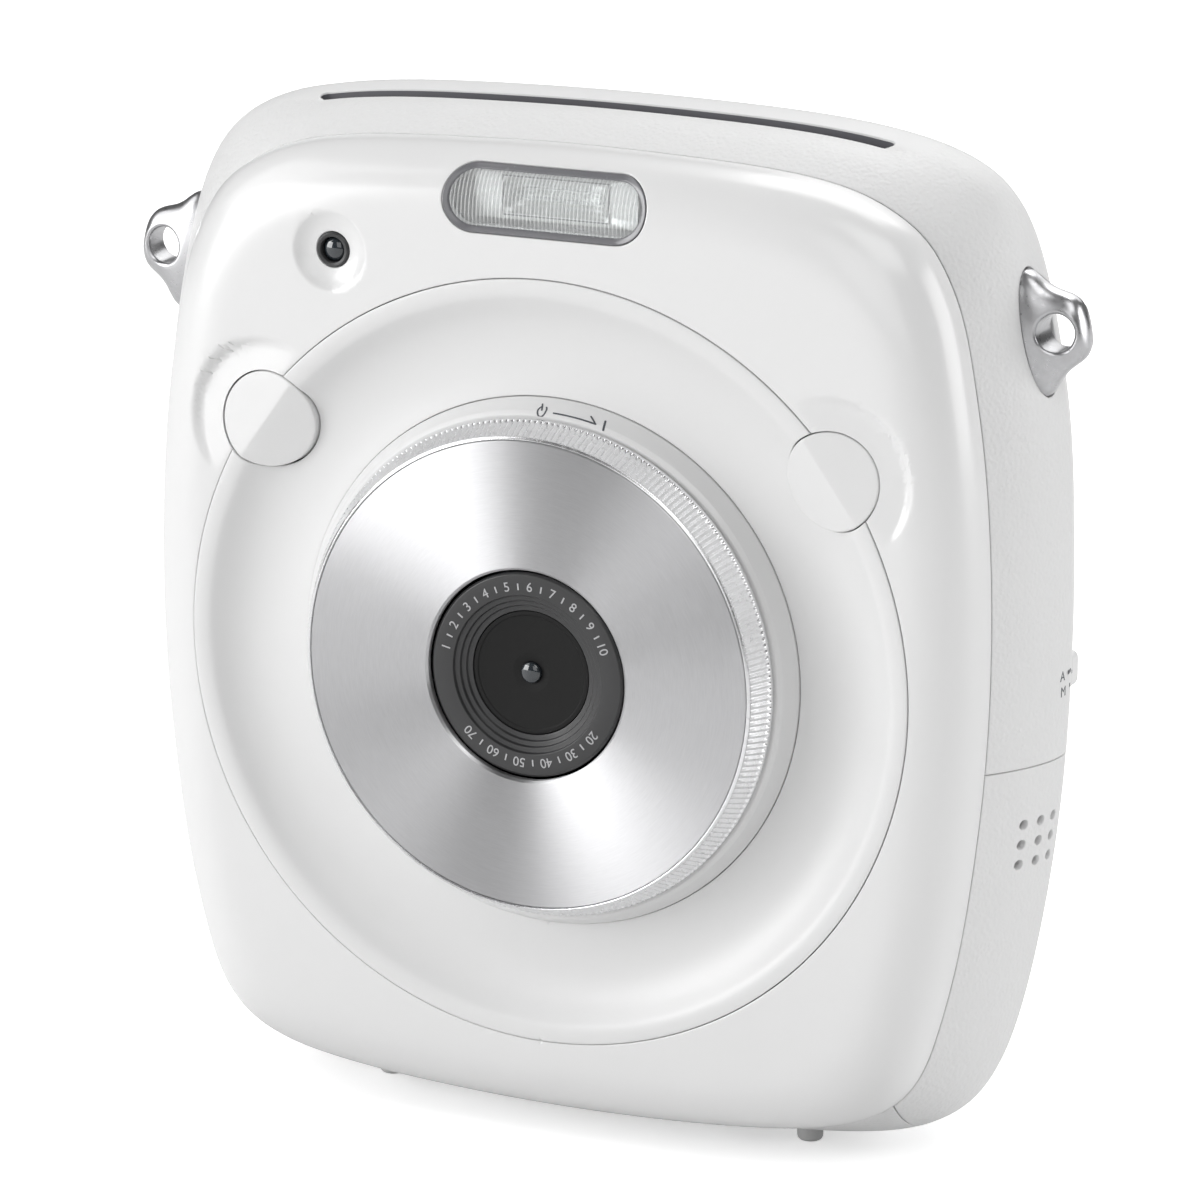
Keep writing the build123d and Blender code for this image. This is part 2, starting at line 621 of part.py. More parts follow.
with BuildPart() as door_surround:  # shape only: wall around the door opening
    add(body_outer)
    with BuildSketch(Plane.XZ.offset(-(Y_REAR + GAP))):
        with Locations((0, DOOR_MID)):
            RectangleRounded(DOOR_W + 4.0, DOOR_H + 4.0, DOOR_R + 2)
    extrude(amount=-20, mode=Mode.INTERSECT)

rear_shell = body_piece((0, Y_REAR + GAP + 10, 62), (140, 20, 140))
with BuildPart() as rear_cover:
    add(rear_shell)
    add(door_surround.part)
    with BuildSketch(Plane.XZ.offset(-5)):
        with Locations((0, DOOR_MID)):
            RectangleRounded(DOOR_W + 0.3, DOOR_H + 0.3, DOOR_R + 0.15)
    extrude(amount=-25, mode=Mode.SUBTRACT)
    # hinge ears reaching into the door's notches
    ear_centres = [((HINGE_X + EAR_ROOT_X) / 2, HINGE_Y - 0.6, z) for z in EAR_LEVELS]
    boxes((HINGE_X - EAR_ROOT_X, 3.0, EAR_L), *ear_centres)
    rods(ALONG_Z, EAR_R, EAR_L, *HINGES)
    rods(ALONG_Z, PIN_R, EAR_L + 2, *HINGES, mode=Mode.SUBTRACT)
save("rear_cover", rear_cover.part)

# ---------------------------------------------------------------- film door
DOOR_INNER_Y = 11.0
HINGE_EDGE_R = 2.62
LCD_Z = 79.5
WINDOW_W, WINDOW_H = 68.0, 50.0
PANEL_W, PANEL_H = 64.0, 46.0
LCD_PLAY = 0.2  # total play of window and panel in their pockets
DIAL_R, DIAL_T, OK_STEM_R = 14.0, 2.5, 3.4
KEY_X, KEY_PITCH, KEY_R = 31.5, 12.5, 4.0
KEYS = {  # x, z
    "key_print": (-KEY_X, DIAL_Z + KEY_PITCH),
    "key_menu": (-KEY_X, DIAL_Z),
    "key_back": (-KEY_X, DIAL_Z - KEY_PITCH),
    "key_exposure": (KEY_X, DIAL_Z + KEY_PITCH),
    "key_vignette": (KEY_X, DIAL_Z),
    "key_filter": (KEY_X, DIAL_Z - KEY_PITCH),
}
LATCH_X, LATCH_Z, LATCH_W = 38.5, 64.0, 2.8

with BuildPart() as hinge_edge:  # shape only: what the half-round hinge edge leaves off
    boxes((10, 10, DOOR_H + 2), (HINGE_X - 5, HINGE_Y + 5, DOOR_MID))
    rods(
        ALONG_Z, HINGE_EDGE_R, DOOR_H + 4, (HINGE_X, HINGE_Y, DOOR_MID), mode=Mode.SUBTRACT
    )

with BuildPart() as film_door:
    add(body_outer)
    with BuildSketch(Plane.XZ.offset(-DOOR_INNER_Y)):
        with Locations((0, DOOR_MID)):
            RectangleRounded(DOOR_W, DOOR_H, DOOR_R)
    extrude(amount=-20, mode=Mode.INTERSECT)
    # hollow inside the outer skin
    with BuildSketch(Plane.XZ.offset(-DOOR_INNER_Y)):
        with Locations((0.6, DOOR_MID)):
            RectangleRounded(DOOR_W - 8.2, DOOR_H - 7, DOOR_R - 3.5)
    extrude(amount=-6.2, mode=Mode.SUBTRACT)
    # hinge edge: a half round about the pin
    add(hinge_edge.part, mode=Mode.SUBTRACT)
    # notches for the hinge ears, open outward so that they clear the ears as the door swings
    notch_centres = [(HINGE_X - 0.6, HINGE_Y + 1.0, z) for z in EAR_LEVELS]
    boxes((6.6, 6.6, EAR_L + 0.3), *notch_centres, mode=Mode.SUBTRACT)
    rods(ALONG_Z, PIN_R + 0.05, PIN_L + 0.4, *HINGES, mode=Mode.SUBTRACT)
    # display: window seat, then the panel pocket inside it
    window_seat = (WINDOW_W + LCD_PLAY, 2.4, WINDOW_H + LCD_PLAY)
    boxes(window_seat, (0, 21.4, LCD_Z), mode=Mode.SUBTRACT)
    panel_pocket = (PANEL_W + LCD_PLAY, 6.2, PANEL_H + LCD_PLAY)
    boxes(panel_pocket, (0, 19.0, LCD_Z), mode=Mode.SUBTRACT)
    # dial seat and centre button hole
    rods(ALONG_Y, DIAL_R + 0.05, DIAL_T, (0, 21.45, DIAL_Z), mode=Mode.SUBTRACT)
    rods(ALONG_Y, OK_STEM_R + 0.1, 8, (0, 19.0, DIAL_Z), mode=Mode.SUBTRACT)
    # key holes
    key_centres = [(x, 20, z) for x, z in KEYS.values()]
    rods(ALONG_Y, KEY_R + 0.1, 8, *key_centres, mode=Mode.SUBTRACT)
    # latch slot
    boxes((LATCH_W + 0.2, 9.0, 11.2), (LATCH_X, 20.0, 62.4), mode=Mode.SUBTRACT)
save("film_door", film_door.part)

with BuildPart() as film_door_pins:
    rods(ALONG_Z, PIN_R, PIN_L, *HINGES)
save("film_door_pins", film_door_pins.part)

with BuildPart() as door_latch:
    # thumb slide with a ribbed face; it slides down 3 mm in its slot
    boxes((LATCH_W, 5.2, 7.6), (LATCH_X, 19.5, LATCH_Z))
    boxes((4.4, 1.2, 9.0), (LATCH_X, 16.5, LATCH_Z))
    rib_centres = [(LATCH_X, 22.2, LATCH_Z + rise) for rise in (-2.4, -0.8, 0.8, 2.4)]
    boxes((LATCH_W, 0.6, 0.8), *rib_centres)
save("door_latch", door_latch.part)

# ---------------------------------------------------------------- display, dial and keys
with BuildPart() as lcd_window:
    boxes((WINDOW_W, 2.0, WINDOW_H), (0, 21.25, LCD_Z))
save("lcd_window", lcd_window.part)

with BuildPart() as lcd_panel:
    boxes((PANEL_W, 2.9, PANEL_H), (0, 18.7, LCD_Z))
save("lcd_panel", lcd_panel.part)

OK_R = 7.4
NOTCHES, NOTCH_R, NOTCH_CIRCLE_R = 48, 0.45, 14.25
with BuildPart() as control_dial:
    rods(ALONG_Y, DIAL_R, DIAL_T, (0, 21.55, DIAL_Z))
    rods(ALONG_Y, OK_R + 0.2, 4, (0, 21.55, DIAL_Z), mode=Mode.SUBTRACT)
    # finger notches around the rear rim
    for i in range(NOTCHES):
        angle = 2 * math.pi * i / NOTCHES
        notch_x = NOTCH_CIRCLE_R * math.cos(angle)
        notch_z = DIAL_Z + NOTCH_CIRCLE_R * math.sin(angle)
        rods(ALONG_Y, NOTCH_R, 0.8, (notch_x, 22.7, notch_z), mode=Mode.SUBTRACT)
save("control_dial", control_dial.part)

with BuildPart() as ok_button:
    rods(ALONG_Y, OK_R, 1.6, (0, 21.9, DIAL_Z))
    fillet(ok_button.edges().group_by(Axis.Y)[-1], 0.5)
    rods(ALONG_Y, OK_STEM_R, 4.6, (0, 19.3, DIAL_Z))
save("ok_button", ok_button.part)

for key_name, (key_x, key_z) in KEYS.items():
    with BuildPart() as rear_key:
        rods(ALONG_Y, KEY_R, 5.8, (key_x, 19.8, key_z))
        fillet(rear_key.edges().group_by(Axis.Y)[-1], 0.4)
        # flange inside the door
        rods(ALONG_Y, KEY_R + 0.8, 0.8, (key_x, 16.5, key_z))
    save(key_name, rear_key.part)

# ---------------------------------------------------------------- film pack
PACK_W, PACK_D, PACK_LOW, PACK_TOP = 78.0, 9.2, 14.0, 104.0
PACK_MID, PACK_H = (PACK_LOW + PACK_TOP) / 2, PACK_TOP - PACK_LOW
SHEETS, SHEET_PITCH, SHEET_SIZE = 10, 0.45, (72, 0.35, 86)
FIRST_SHEET_Y = -3.2

with BuildPart() as film_pack:
    boxes((PACK_W, PACK_D, PACK_H), (0, 0, PACK_MID))
    fillet(film_pack.edges().filter_by(Axis.Y), 2.0)
    boxes((PACK_W - 3, 7.4, PACK_H - 3), (0, 0.2, PACK_MID + 0.5), mode=Mode.SUBTRACT)
    # exposure window and the exit slit at the top
    boxes((62, 3, 62), (0, -4, PACK_MID + 4), mode=Mode.SUBTRACT)
    boxes((73, 1.0, 6), (0, -3.0, PACK_TOP), mode=Mode.SUBTRACT)
save("film_pack", film_pack.part)

with BuildPart() as film_sheets:
    boxes(SHEET_SIZE, *[(0, FIRST_SHEET_Y + SHEET_PITCH * i, 59.3) for i in range(SHEETS)])
save("film_sheets", film_sheets.part)

# ---------------------------------------------------------------- chassis
CHASSIS_OUTLINE = [  # x, z
    (-47, 22), (-40, 12.3), (40, 12.3), (47, 22), (48.2, 30), (48.2, 52), (50, 56), (50, 92),
    (38.4, 92), (38.4, 103.6), (-38.4, 103.6), (-38.4, 92), (-50, 92), (-50, 40),
]
RAIL_T, RAIL_D = 1.5, 10.4

with BuildPart() as chassis:
    with BuildSketch(Plane.XZ.offset(CHASSIS_REAR)):
        with BuildLine():
            Polyline(*CHASSIS_OUTLINE, close=True)
        make_face()
    extrude(amount=CHASSIS_T)
    # film chamber rails and floor
    boxes((RAIL_T, RAIL_D, 91.4), (39.85, 0, 58), (-39.85, 0, 58))
    boxes((81.2, RAIL_D, RAIL_T), (0, 0, 13.05))
    # posts for the bottom screws
    rods(ALONG_Z, BOSS_R, 7.3, *at_height(SCREWS, 8.95))
    rods(ALONG_Z, SCREW_R, 8.0, *at_height(SCREWS, 7.8), mode=Mode.SUBTRACT)
    # guide slot of the film claw
    boxes((2.2, 4, 26), (0, -6, 26), mode=Mode.SUBTRACT)
save("chassis", chassis.part)

# ---------------------------------------------------------------- gear train
ROLLER_Z, ROLLER_R, FRONT_ROLLER_Y, REAR_ROLLER_Y = 110.4, 3.5, -7.28, 0.08
MOTOR_Y, MOTOR_Z = -11.2, 98.4
MODULE = 0.4
PRESSURE_ANGLE = math.radians(20)
BACKLASH = 0.10
ROLLER_TEETH, IDLER_TEETH, PINION_TEETH = 18, 20, 10
GEAR_X, GEAR_W = 38.7, 2.4  # inner face and width of all gears
CENTRE_PLAY = 0.08  # added to the idler's centre distances


def gear_outline(teeth, y, z, phase):
    """Closed involute outline in the YZ plane, first tooth centred at phase (radians)."""
    pitch_r = MODULE * teeth / 2
    base_r = pitch_r * math.cos(PRESSURE_ANGLE)
    tip_r, root_r = pitch_r + 0.9 * MODULE, pitch_r - 1.15 * MODULE
    pitch_involute = math.tan(PRESSURE_ANGLE) - PRESSURE_ANGLE
    half_tooth = math.pi / (2 * teeth) - BACKLASH / (2 * pitch_r)
    # one flank from root to tip: radius, angle from the tooth's centre line
    flank = []
    start_r = max(base_r, root_r)
    for j in range(5):
        radius = start_r + (tip_r - start_r) * j / 4
        pressure = math.acos(min(1.0, base_r / radius))
        flank.append((radius, half_tooth + pitch_involute - (math.tan(pressure) - pressure)))
    if root_r < base_r - 1e-6:
        flank.insert(0, (root_r, flank[0][1]))
    tooth = [(radius, -half) for radius, half in flank] + flank[::-1]
    points = []
    for i in range(teeth):
        centre = phase + 2 * math.pi * i / teeth
        for radius, turn in tooth:
            angle = centre + turn
            points.append((y + radius * math.cos(angle), z + radius * math.sin(angle)))
    return points


def gear_wheel(teeth, y, z, phase):
    with BuildPart() as wheel:
        with BuildSketch(Plane.YZ.offset(GEAR_X)):
            with BuildLine():
                Polyline(*gear_outline(teeth, y, z, phase), close=True)
            make_face()
        extrude(amount=GEAR_W)
    return wheel.part


def mesh_phase(phase, teeth, next_teeth, direction):
    """Phase of the next gear so that it meshes; direction: angle to its centre."""
    offset = (phase - direction) % (2 * math.pi / teeth)
    return direction + math.pi - offset * teeth / next_teeth + math.pi / next_teeth


# the idler's centre lies at its mesh distance from both the front roller and the pinion
ROLLER_IDLER = MODULE * (ROLLER_TEETH + IDLER_TEETH) / 2 + CENTRE_PLAY
IDLER_PINION = MODULE * (IDLER_TEETH + PINION_TEETH) / 2 + CENTRE_PLAY
SPAN_Y, SPAN_Z = FRONT_ROLLER_Y - MOTOR_Y, ROLLER_Z - MOTOR_Z
SPAN = math.hypot(SPAN_Y, SPAN_Z)
ALONG_SPAN = (IDLER_PINION**2 - ROLLER_IDLER**2 + SPAN**2) / (2 * SPAN)
OFF_SPAN = math.sqrt(IDLER_PINION**2 - ALONG_SPAN**2)
IDLER_Y = MOTOR_Y + ALONG_SPAN * SPAN_Y / SPAN - OFF_SPAN * SPAN_Z / SPAN
IDLER_Z = MOTOR_Z + ALONG_SPAN * SPAN_Z / SPAN + OFF_SPAN * SPAN_Y / SPAN

TO_IDLER = math.atan2(IDLER_Z - ROLLER_Z, IDLER_Y - FRONT_ROLLER_Y)
TO_PINION = math.atan2(MOTOR_Z - IDLER_Z, MOTOR_Y - IDLER_Y)
FRONT_PHASE = 0.0
REAR_PHASE = mesh_phase(FRONT_PHASE, ROLLER_TEETH, ROLLER_TEETH, 0.0)
IDLER_PHASE = mesh_phase(FRONT_PHASE, ROLLER_TEETH, IDLER_TEETH, TO_IDLER)
PINION_PHASE = mesh_phase(IDLER_PHASE, IDLER_TEETH, PINION_TEETH, TO_PINION)

# ---------------------------------------------------------------- roller frame
CHEEK_X, CHEEK_T = 37.65, 1.5
JOURNAL_R = 1.5
IDLER_AXLE_R = 0.8

with BuildPart() as roller_frame:
    # two cheeks joined by a bar, standing on the chassis plate
    boxes((CHEEK_T, 15.2, 11.5), (CHEEK_X, -3.4, 109.85), (-CHEEK_X, -3.4, 109.85))
    boxes((CHEEK_T, CHASSIS_T, 0.8), (CHEEK_X, -5.95, 104.0), (-CHEEK_X, -5.95, 104.0))
    boxes((75.6, 1.6, 1.6), (0, -10.2, 114.8))
    boxes((CHEEK_T, 4.6, 4.0), (CHEEK_X, -11.6, 105.4))
    axes = [(0, FRONT_ROLLER_Y, ROLLER_Z), (0, REAR_ROLLER_Y, ROLLER_Z)]
    rods(ALONG_X, JOURNAL_R + 0.05, 100, *axes, mode=Mode.SUBTRACT)
    # axle of the idler gear
    rods(ALONG_X, IDLER_AXLE_R, 3.2, (39.7, IDLER_Y, IDLER_Z))
save("roller_frame", roller_frame.part)


# ---------------------------------------------------------------- rollers
def roller(y, phase):
    wheel = gear_wheel(ROLLER_TEETH, y, ROLLER_Z, phase)
    with BuildPart() as body:
        rods(ALONG_X, ROLLER_R, 73.2, (0, y, ROLLER_Z))
        rods(ALONG_X, JOURNAL_R, 79.6, (1.3, y, ROLLER_Z))
        add(wheel)
    return body.part


save("front_roller", roller(FRONT_ROLLER_Y, FRONT_PHASE))
save("rear_roller", roller(REAR_ROLLER_Y, REAR_PHASE))

# ---------------------------------------------------------------- idler, pinion and motor
idler_wheel = gear_wheel(IDLER_TEETH, IDLER_Y, IDLER_Z, IDLER_PHASE)
with BuildPart() as idler_gear:
    add(idler_wheel)
    rods(ALONG_X, IDLER_AXLE_R + 0.05, 6, (40.0, IDLER_Y, IDLER_Z), mode=Mode.SUBTRACT)
save("idler_gear", idler_gear.part)

SHAFT_R = 0.75
pinion_wheel = gear_wheel(PINION_TEETH, MOTOR_Y, MOTOR_Z, PINION_PHASE)
with BuildPart() as motor_pinion:
    add(pinion_wheel)
    rods(ALONG_X, SHAFT_R, 6.4, (36.4, MOTOR_Y, MOTOR_Z))
save("motor_pinion", motor_pinion.part)

with BuildPart() as drive_motor:
    boxes((22, 8.0, 9.0), (25, MOTOR_Y, MOTOR_Z))
    fillet(drive_motor.edges().filter_by(Axis.X), 2.0)
    # nose and shaft bore
    rods(ALONG_X, 2.2, 1.4, (36.5, MOTOR_Y, MOTOR_Z))
    rods(ALONG_X, SHAFT_R + 0.05, 6, (36.0, MOTOR_Y, MOTOR_Z), mode=Mode.SUBTRACT)
save("drive_motor", drive_motor.part)

# ---------------------------------------------------------------- print head and film claw
HEAD_Z = 105.45

with BuildPart() as print_head:
    boxes((73, 6.8, 2.7), (0, -8.6, HEAD_Z))
    # groove in the rear face
    boxes((66, 0.8, 1.0), (0, -5.2, HEAD_Z), mode=Mode.SUBTRACT)
save("print_head", print_head.part)

with BuildPart() as film_claw:
    # plate in front of the chassis, finger reaching back through the guide slot
    boxes((4.0, 1.2, 16), (0, -7.5, 24))
    boxes((2.0, 2.1, 3.0), (0, -5.85, 18))
save("film_claw", film_claw.part)

# ---------------------------------------------------------------- electronics
BOARD_OUTLINE = [(13, 20), (44, 20), (48, 40), (48, 80), (32, 80), (32, 93), (13, 93)]  # x, z
CHIP_SIZE = (9, 1.4, 9)
CHIPS = [(30, -8.7, 58), (22, -8.6, 80), (38, -8.6, 34), (19, -8.9, 30), (42, -8.7, 72)]

with BuildPart() as main_board:
    with BuildSketch(CHASSIS_FRONT):
        with BuildLine():
            Polyline(*BOARD_OUTLINE, close=True)
        make_face()
    extrude(amount=1.4)
    # processor, memory, connectors
    boxes(CHIP_SIZE, *CHIPS)
save("main_board", main_board.part)

with BuildPart() as battery:
    boxes((33, 5.8, 38), (-27.5, -9.85, 33.5))
    fillet(battery.edges().filter_by(Axis.Z), 1.2)
save("battery", battery.part)

with BuildPart() as memory_card:
    boxes((11, 1.0, 15), (-42.0, -7.45, 63))
    # one clipped top corner
    chamfer(memory_card.edges().filter_by(Axis.Y).sort_by(Axis.Z)[-1], 1.5)
save("memory_card", memory_card.part)

with BuildPart() as flash_capacitor:
    rods(ALONG_X, 3.6, 30, (6, -11.4, 10.2))
    fillet(flash_capacitor.edges().filter_by(GeomType.CIRCLE), 0.6)
save("flash_capacitor", flash_capacitor.part)
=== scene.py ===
"""Compact instant-print camera with a round lens dish in front and a film door with display behind.

The lens looks along -Y, +X is to the right seen from the front and +Z is up. The lens axis runs
through x = 0, z = LENS_Z. Lengths are in millimetres; make() turns them into metres.
"""
import bpy
import bmesh
import math
import numpy as np
from mathutils import Vector, Matrix
from mathutils.geometry import delaunay_2d_cdt
from mathutils.kdtree import KDTree

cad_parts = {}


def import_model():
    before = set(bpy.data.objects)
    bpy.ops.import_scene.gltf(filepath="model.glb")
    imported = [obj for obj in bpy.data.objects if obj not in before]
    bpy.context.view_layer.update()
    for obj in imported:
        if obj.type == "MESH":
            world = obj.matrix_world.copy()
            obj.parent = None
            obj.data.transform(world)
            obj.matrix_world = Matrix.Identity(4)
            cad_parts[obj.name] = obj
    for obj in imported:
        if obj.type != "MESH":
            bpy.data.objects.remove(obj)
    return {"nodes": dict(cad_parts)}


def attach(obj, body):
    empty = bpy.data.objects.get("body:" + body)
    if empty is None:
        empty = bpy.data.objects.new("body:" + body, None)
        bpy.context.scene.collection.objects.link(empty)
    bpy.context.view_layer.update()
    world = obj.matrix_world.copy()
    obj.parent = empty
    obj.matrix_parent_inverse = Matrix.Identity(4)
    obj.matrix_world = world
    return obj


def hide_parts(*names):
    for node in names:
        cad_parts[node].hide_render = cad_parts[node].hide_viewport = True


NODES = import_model()["nodes"]
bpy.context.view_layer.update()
MM = 0.001

# ------------------------------------------------------------------ driving dimensions
OUTLINE_SCALE = 1.018
LENS_Z = 59.8
Y_SEAM, Y_REAR = -12.15, 9.0            # front edge of the frame, joint of frame and rear cover
SEAM_GAP = 0.09                         # gap a shell leaves at a joint
Z_SIDE, X_BOTTOM = 51.15, 42.85         # joints of the upper frame and of the bottom cover
R_DISH, R_COLLAR = 46.83, 32.34
BUTTON_X, BUTTON_Z, BUTTON_R = 36.65, 86.17, 6.0
BUTTON_HOLE_R = BUTTON_R + 0.12
FLASH_Z, FLASH_L, FLASH_H = 115.6, 26.2, 8.04
LAMP_X, LAMP_Z = -27.9, 107.65
SLOT_Y, SLOT_HALF, SLOT_W = -3.6, 37.5, 1.6
LUG_X, LUG_Y, LUG_Z, EYE_X, EYE_R = 58.0, -3.2, 103.0, 58.4, 2.25
LUG_COS, LUG_SIN = math.cos(math.radians(12.0)), math.sin(math.radians(12.0))
DOOR_X, DOOR_Z0, DOOR_Z1, DOOR_R, DOOR_GAP = 45.05, 12.5, 109.0, 9.0, 0.13
DOOR_MID, DOOR_H = (DOOR_Z0 + DOOR_Z1) / 2, DOOR_Z1 - DOOR_Z0
HINGE_X, HINGE_Y, HINGE_Z = -42.4, 20.1, (39.0, 83.0)
DIAL_Z, LCD_Z = 34.0, 79.5
BUTTON_RIDGE_Y = -20.25
RIDGE_OUT_SLOPE, RIDGE_IN_SLOPE = math.tan(math.radians(8.0)), math.tan(math.radians(20.0))
MODE_Y, MODE_Z, RECESS_Z = 4.6, 60.4, 59.0
REARWARD, FORWARD = (0, 1, 0), (0, -1, 0)

# Half outlines from top to bottom, (x, z above the lens axis), before OUTLINE_SCALE
SEAM_HALF = [
    (0, 60.7), (14, 60.4), (26, 59.75), (34.5, 58.4), (40.1, 56.2), (44.2, 53.2), (46.7, 49.6),
    (48.7, 44.9), (50.2, 38.5), (51.6, 30.0), (52.7, 18.5), (53.1, 5.0), (52.7, -7.5),
    (51.5, -19.8), (49.8, -31.0), (47.6, -40.2), (45.1, -46.7), (41.9, -50.4), (37.6, -52.7),
    (30.4, -54.4), (17.0, -55.7), (0, -56.2)]
WIDE_HALF = [
    (0, 65.0), (14.5, 64.8), (27.5, 64.2), (37.0, 63.0), (43.6, 61.2), (48.2, 58.6), (51.2, 55.0),
    (53.6, 49.2), (55.6, 41.0), (57.2, 31.0), (58.0, 18.5), (58.2, 5.0), (57.8, -7.5),
    (56.7, -20.3), (54.9, -32.2), (52.6, -42.2), (49.7, -49.4), (45.9, -53.9), (40.4, -56.5),
    (31.5, -57.9), (17.0, -58.5), (0, -58.7)]
# Loft stations: y, share of the wide outline, inset from the outline
BODY_STATIONS = [
    (-12.1, 0, 0), (-9.2, 0.40, 0), (-5.9, 0.74, 0), (-2.6, 0.95, 0), (0.0, 1.0, 0.0),
    (2.4, 1, 0.5), (5.45, 1, 1.75), (9.0, 1, 3.3), (12.0, 1, 4.8), (15.6, 1, 6.9),
    (18.6, 1, 9.1), (20.6, 1, 11.4), (21.8, 1, 13.8), (22.3, 1, 16.4), (22.4, 1, 19.5),
    (22.4, 1, 26.0), (22.4, 1, 40.0)]
COVER_STATIONS = [
    (-12.15, 0, 0), (-14.2, 0, 0.22), (-16.0, 0, 0.85), (-17.5, 0, 1.9), (-18.6, 0, 3.2),
    (-19.4, 0, 4.8), (-19.85, 0, 6.3), (-20.0, 0, 7.9), (-20.0, 0, 12.0), (-20.0, 0, 20.0),
    (-20.0, 0, 40.0)]


# ------------------------------------------------------------------ curves
class ClosedSpline:
    """Periodic cubic spline through points; the parameter is a length in mm."""

    def __init__(self, params, points):
        self.knots, self.length, self.points = params[:-1], params[-1], points
        self.spans = spans = np.diff(params)
        count = len(points)
        matrix, right = np.zeros((count, count)), np.zeros((count, points.shape[1]))
        for i in range(count):
            before, after, j = spans[i - 1], spans[i], (i + 1) % count
            matrix[i, (i - 1) % count] += before
            matrix[i, i] += 2 * (before + after)
            matrix[i, j] += after
            right[i] = 6 * ((points[j] - points[i]) / after
                            - (points[i] - points[i - 1]) / before)
        self.bends = np.linalg.solve(matrix, right)

    def __call__(self, around):
        around = np.mod(np.asarray(around, float), self.length)
        i = np.searchsorted(self.knots, around, side="right") - 1
        j = (i + 1) % len(self.knots)
        span = self.spans[i][:, None]
        near = (self.knots[i][:, None] + span - around[:, None]) / span
        far = 1 - near
        bend = (near**3 - near) * self.bends[i] + (far**3 - far) * self.bends[j]
        return near * self.points[i] + far * self.points[j] + bend * span * span / 6


def whole(half):
    """Closed outline, clockwise seen from the front, from its +X half."""
    return np.array(list(half) + [(-x, z) for x, z in reversed(half[1:-1])], float)


WIDE = whole(WIDE_HALF)
CHORDS = np.r_[0, np.cumsum(np.hypot(*(np.roll(WIDE, -1, 0) - WIDE).T))] * OUTLINE_SCALE
SEAM_AT, WIDE_AT = ClosedSpline(CHORDS, whole(SEAM_HALF)), ClosedSpline(CHORDS, WIDE)
LENGTH = CHORDS[-1]
HALF = LENGTH / 2
OUTLINE_STEPS = np.linspace(-HALF, HALF, 4001)


def pchip(knots, values, at):
    """Monotone cubic interpolation."""
    knots, values = np.asarray(knots, float), np.asarray(values, float)
    spans, rise = np.diff(knots), np.diff(values) / np.diff(knots)
    slopes = np.zeros_like(values)
    for k in range(1, len(knots) - 1):
        if rise[k - 1] * rise[k] > 0:
            before, after = 2 * spans[k] + spans[k - 1], spans[k] + 2 * spans[k - 1]
            slopes[k] = (before + after) / (before / rise[k - 1] + after / rise[k])
    slopes[0], slopes[-1] = rise[0], rise[-1]
    at = np.clip(at, knots[0], knots[-1])
    i = np.clip(np.searchsorted(knots, at, side="right") - 1, 0, len(knots) - 2)
    t = (at - knots[i]) / spans[i]
    return ((1 + 2 * t) * (1 - t) ** 2 * values[i] + t * (1 - t) ** 2 * spans[i] * slopes[i]
            + t * t * (3 - 2 * t) * values[i + 1] + t * t * (t - 1) * spans[i] * slopes[i + 1])


def extents(mix):
    """Half width, middle height and half height of a mixed outline."""
    sizes = [[max(x for x, z in half), half[0][1], half[-1][1]] for half in (SEAM_HALF, WIDE_HALF)]
    half_width, top, low = (((1 - mix) * a + mix * b) * OUTLINE_SCALE for a, b in zip(*sizes))
    return half_width, (top + low) / 2, (top - low) / 2


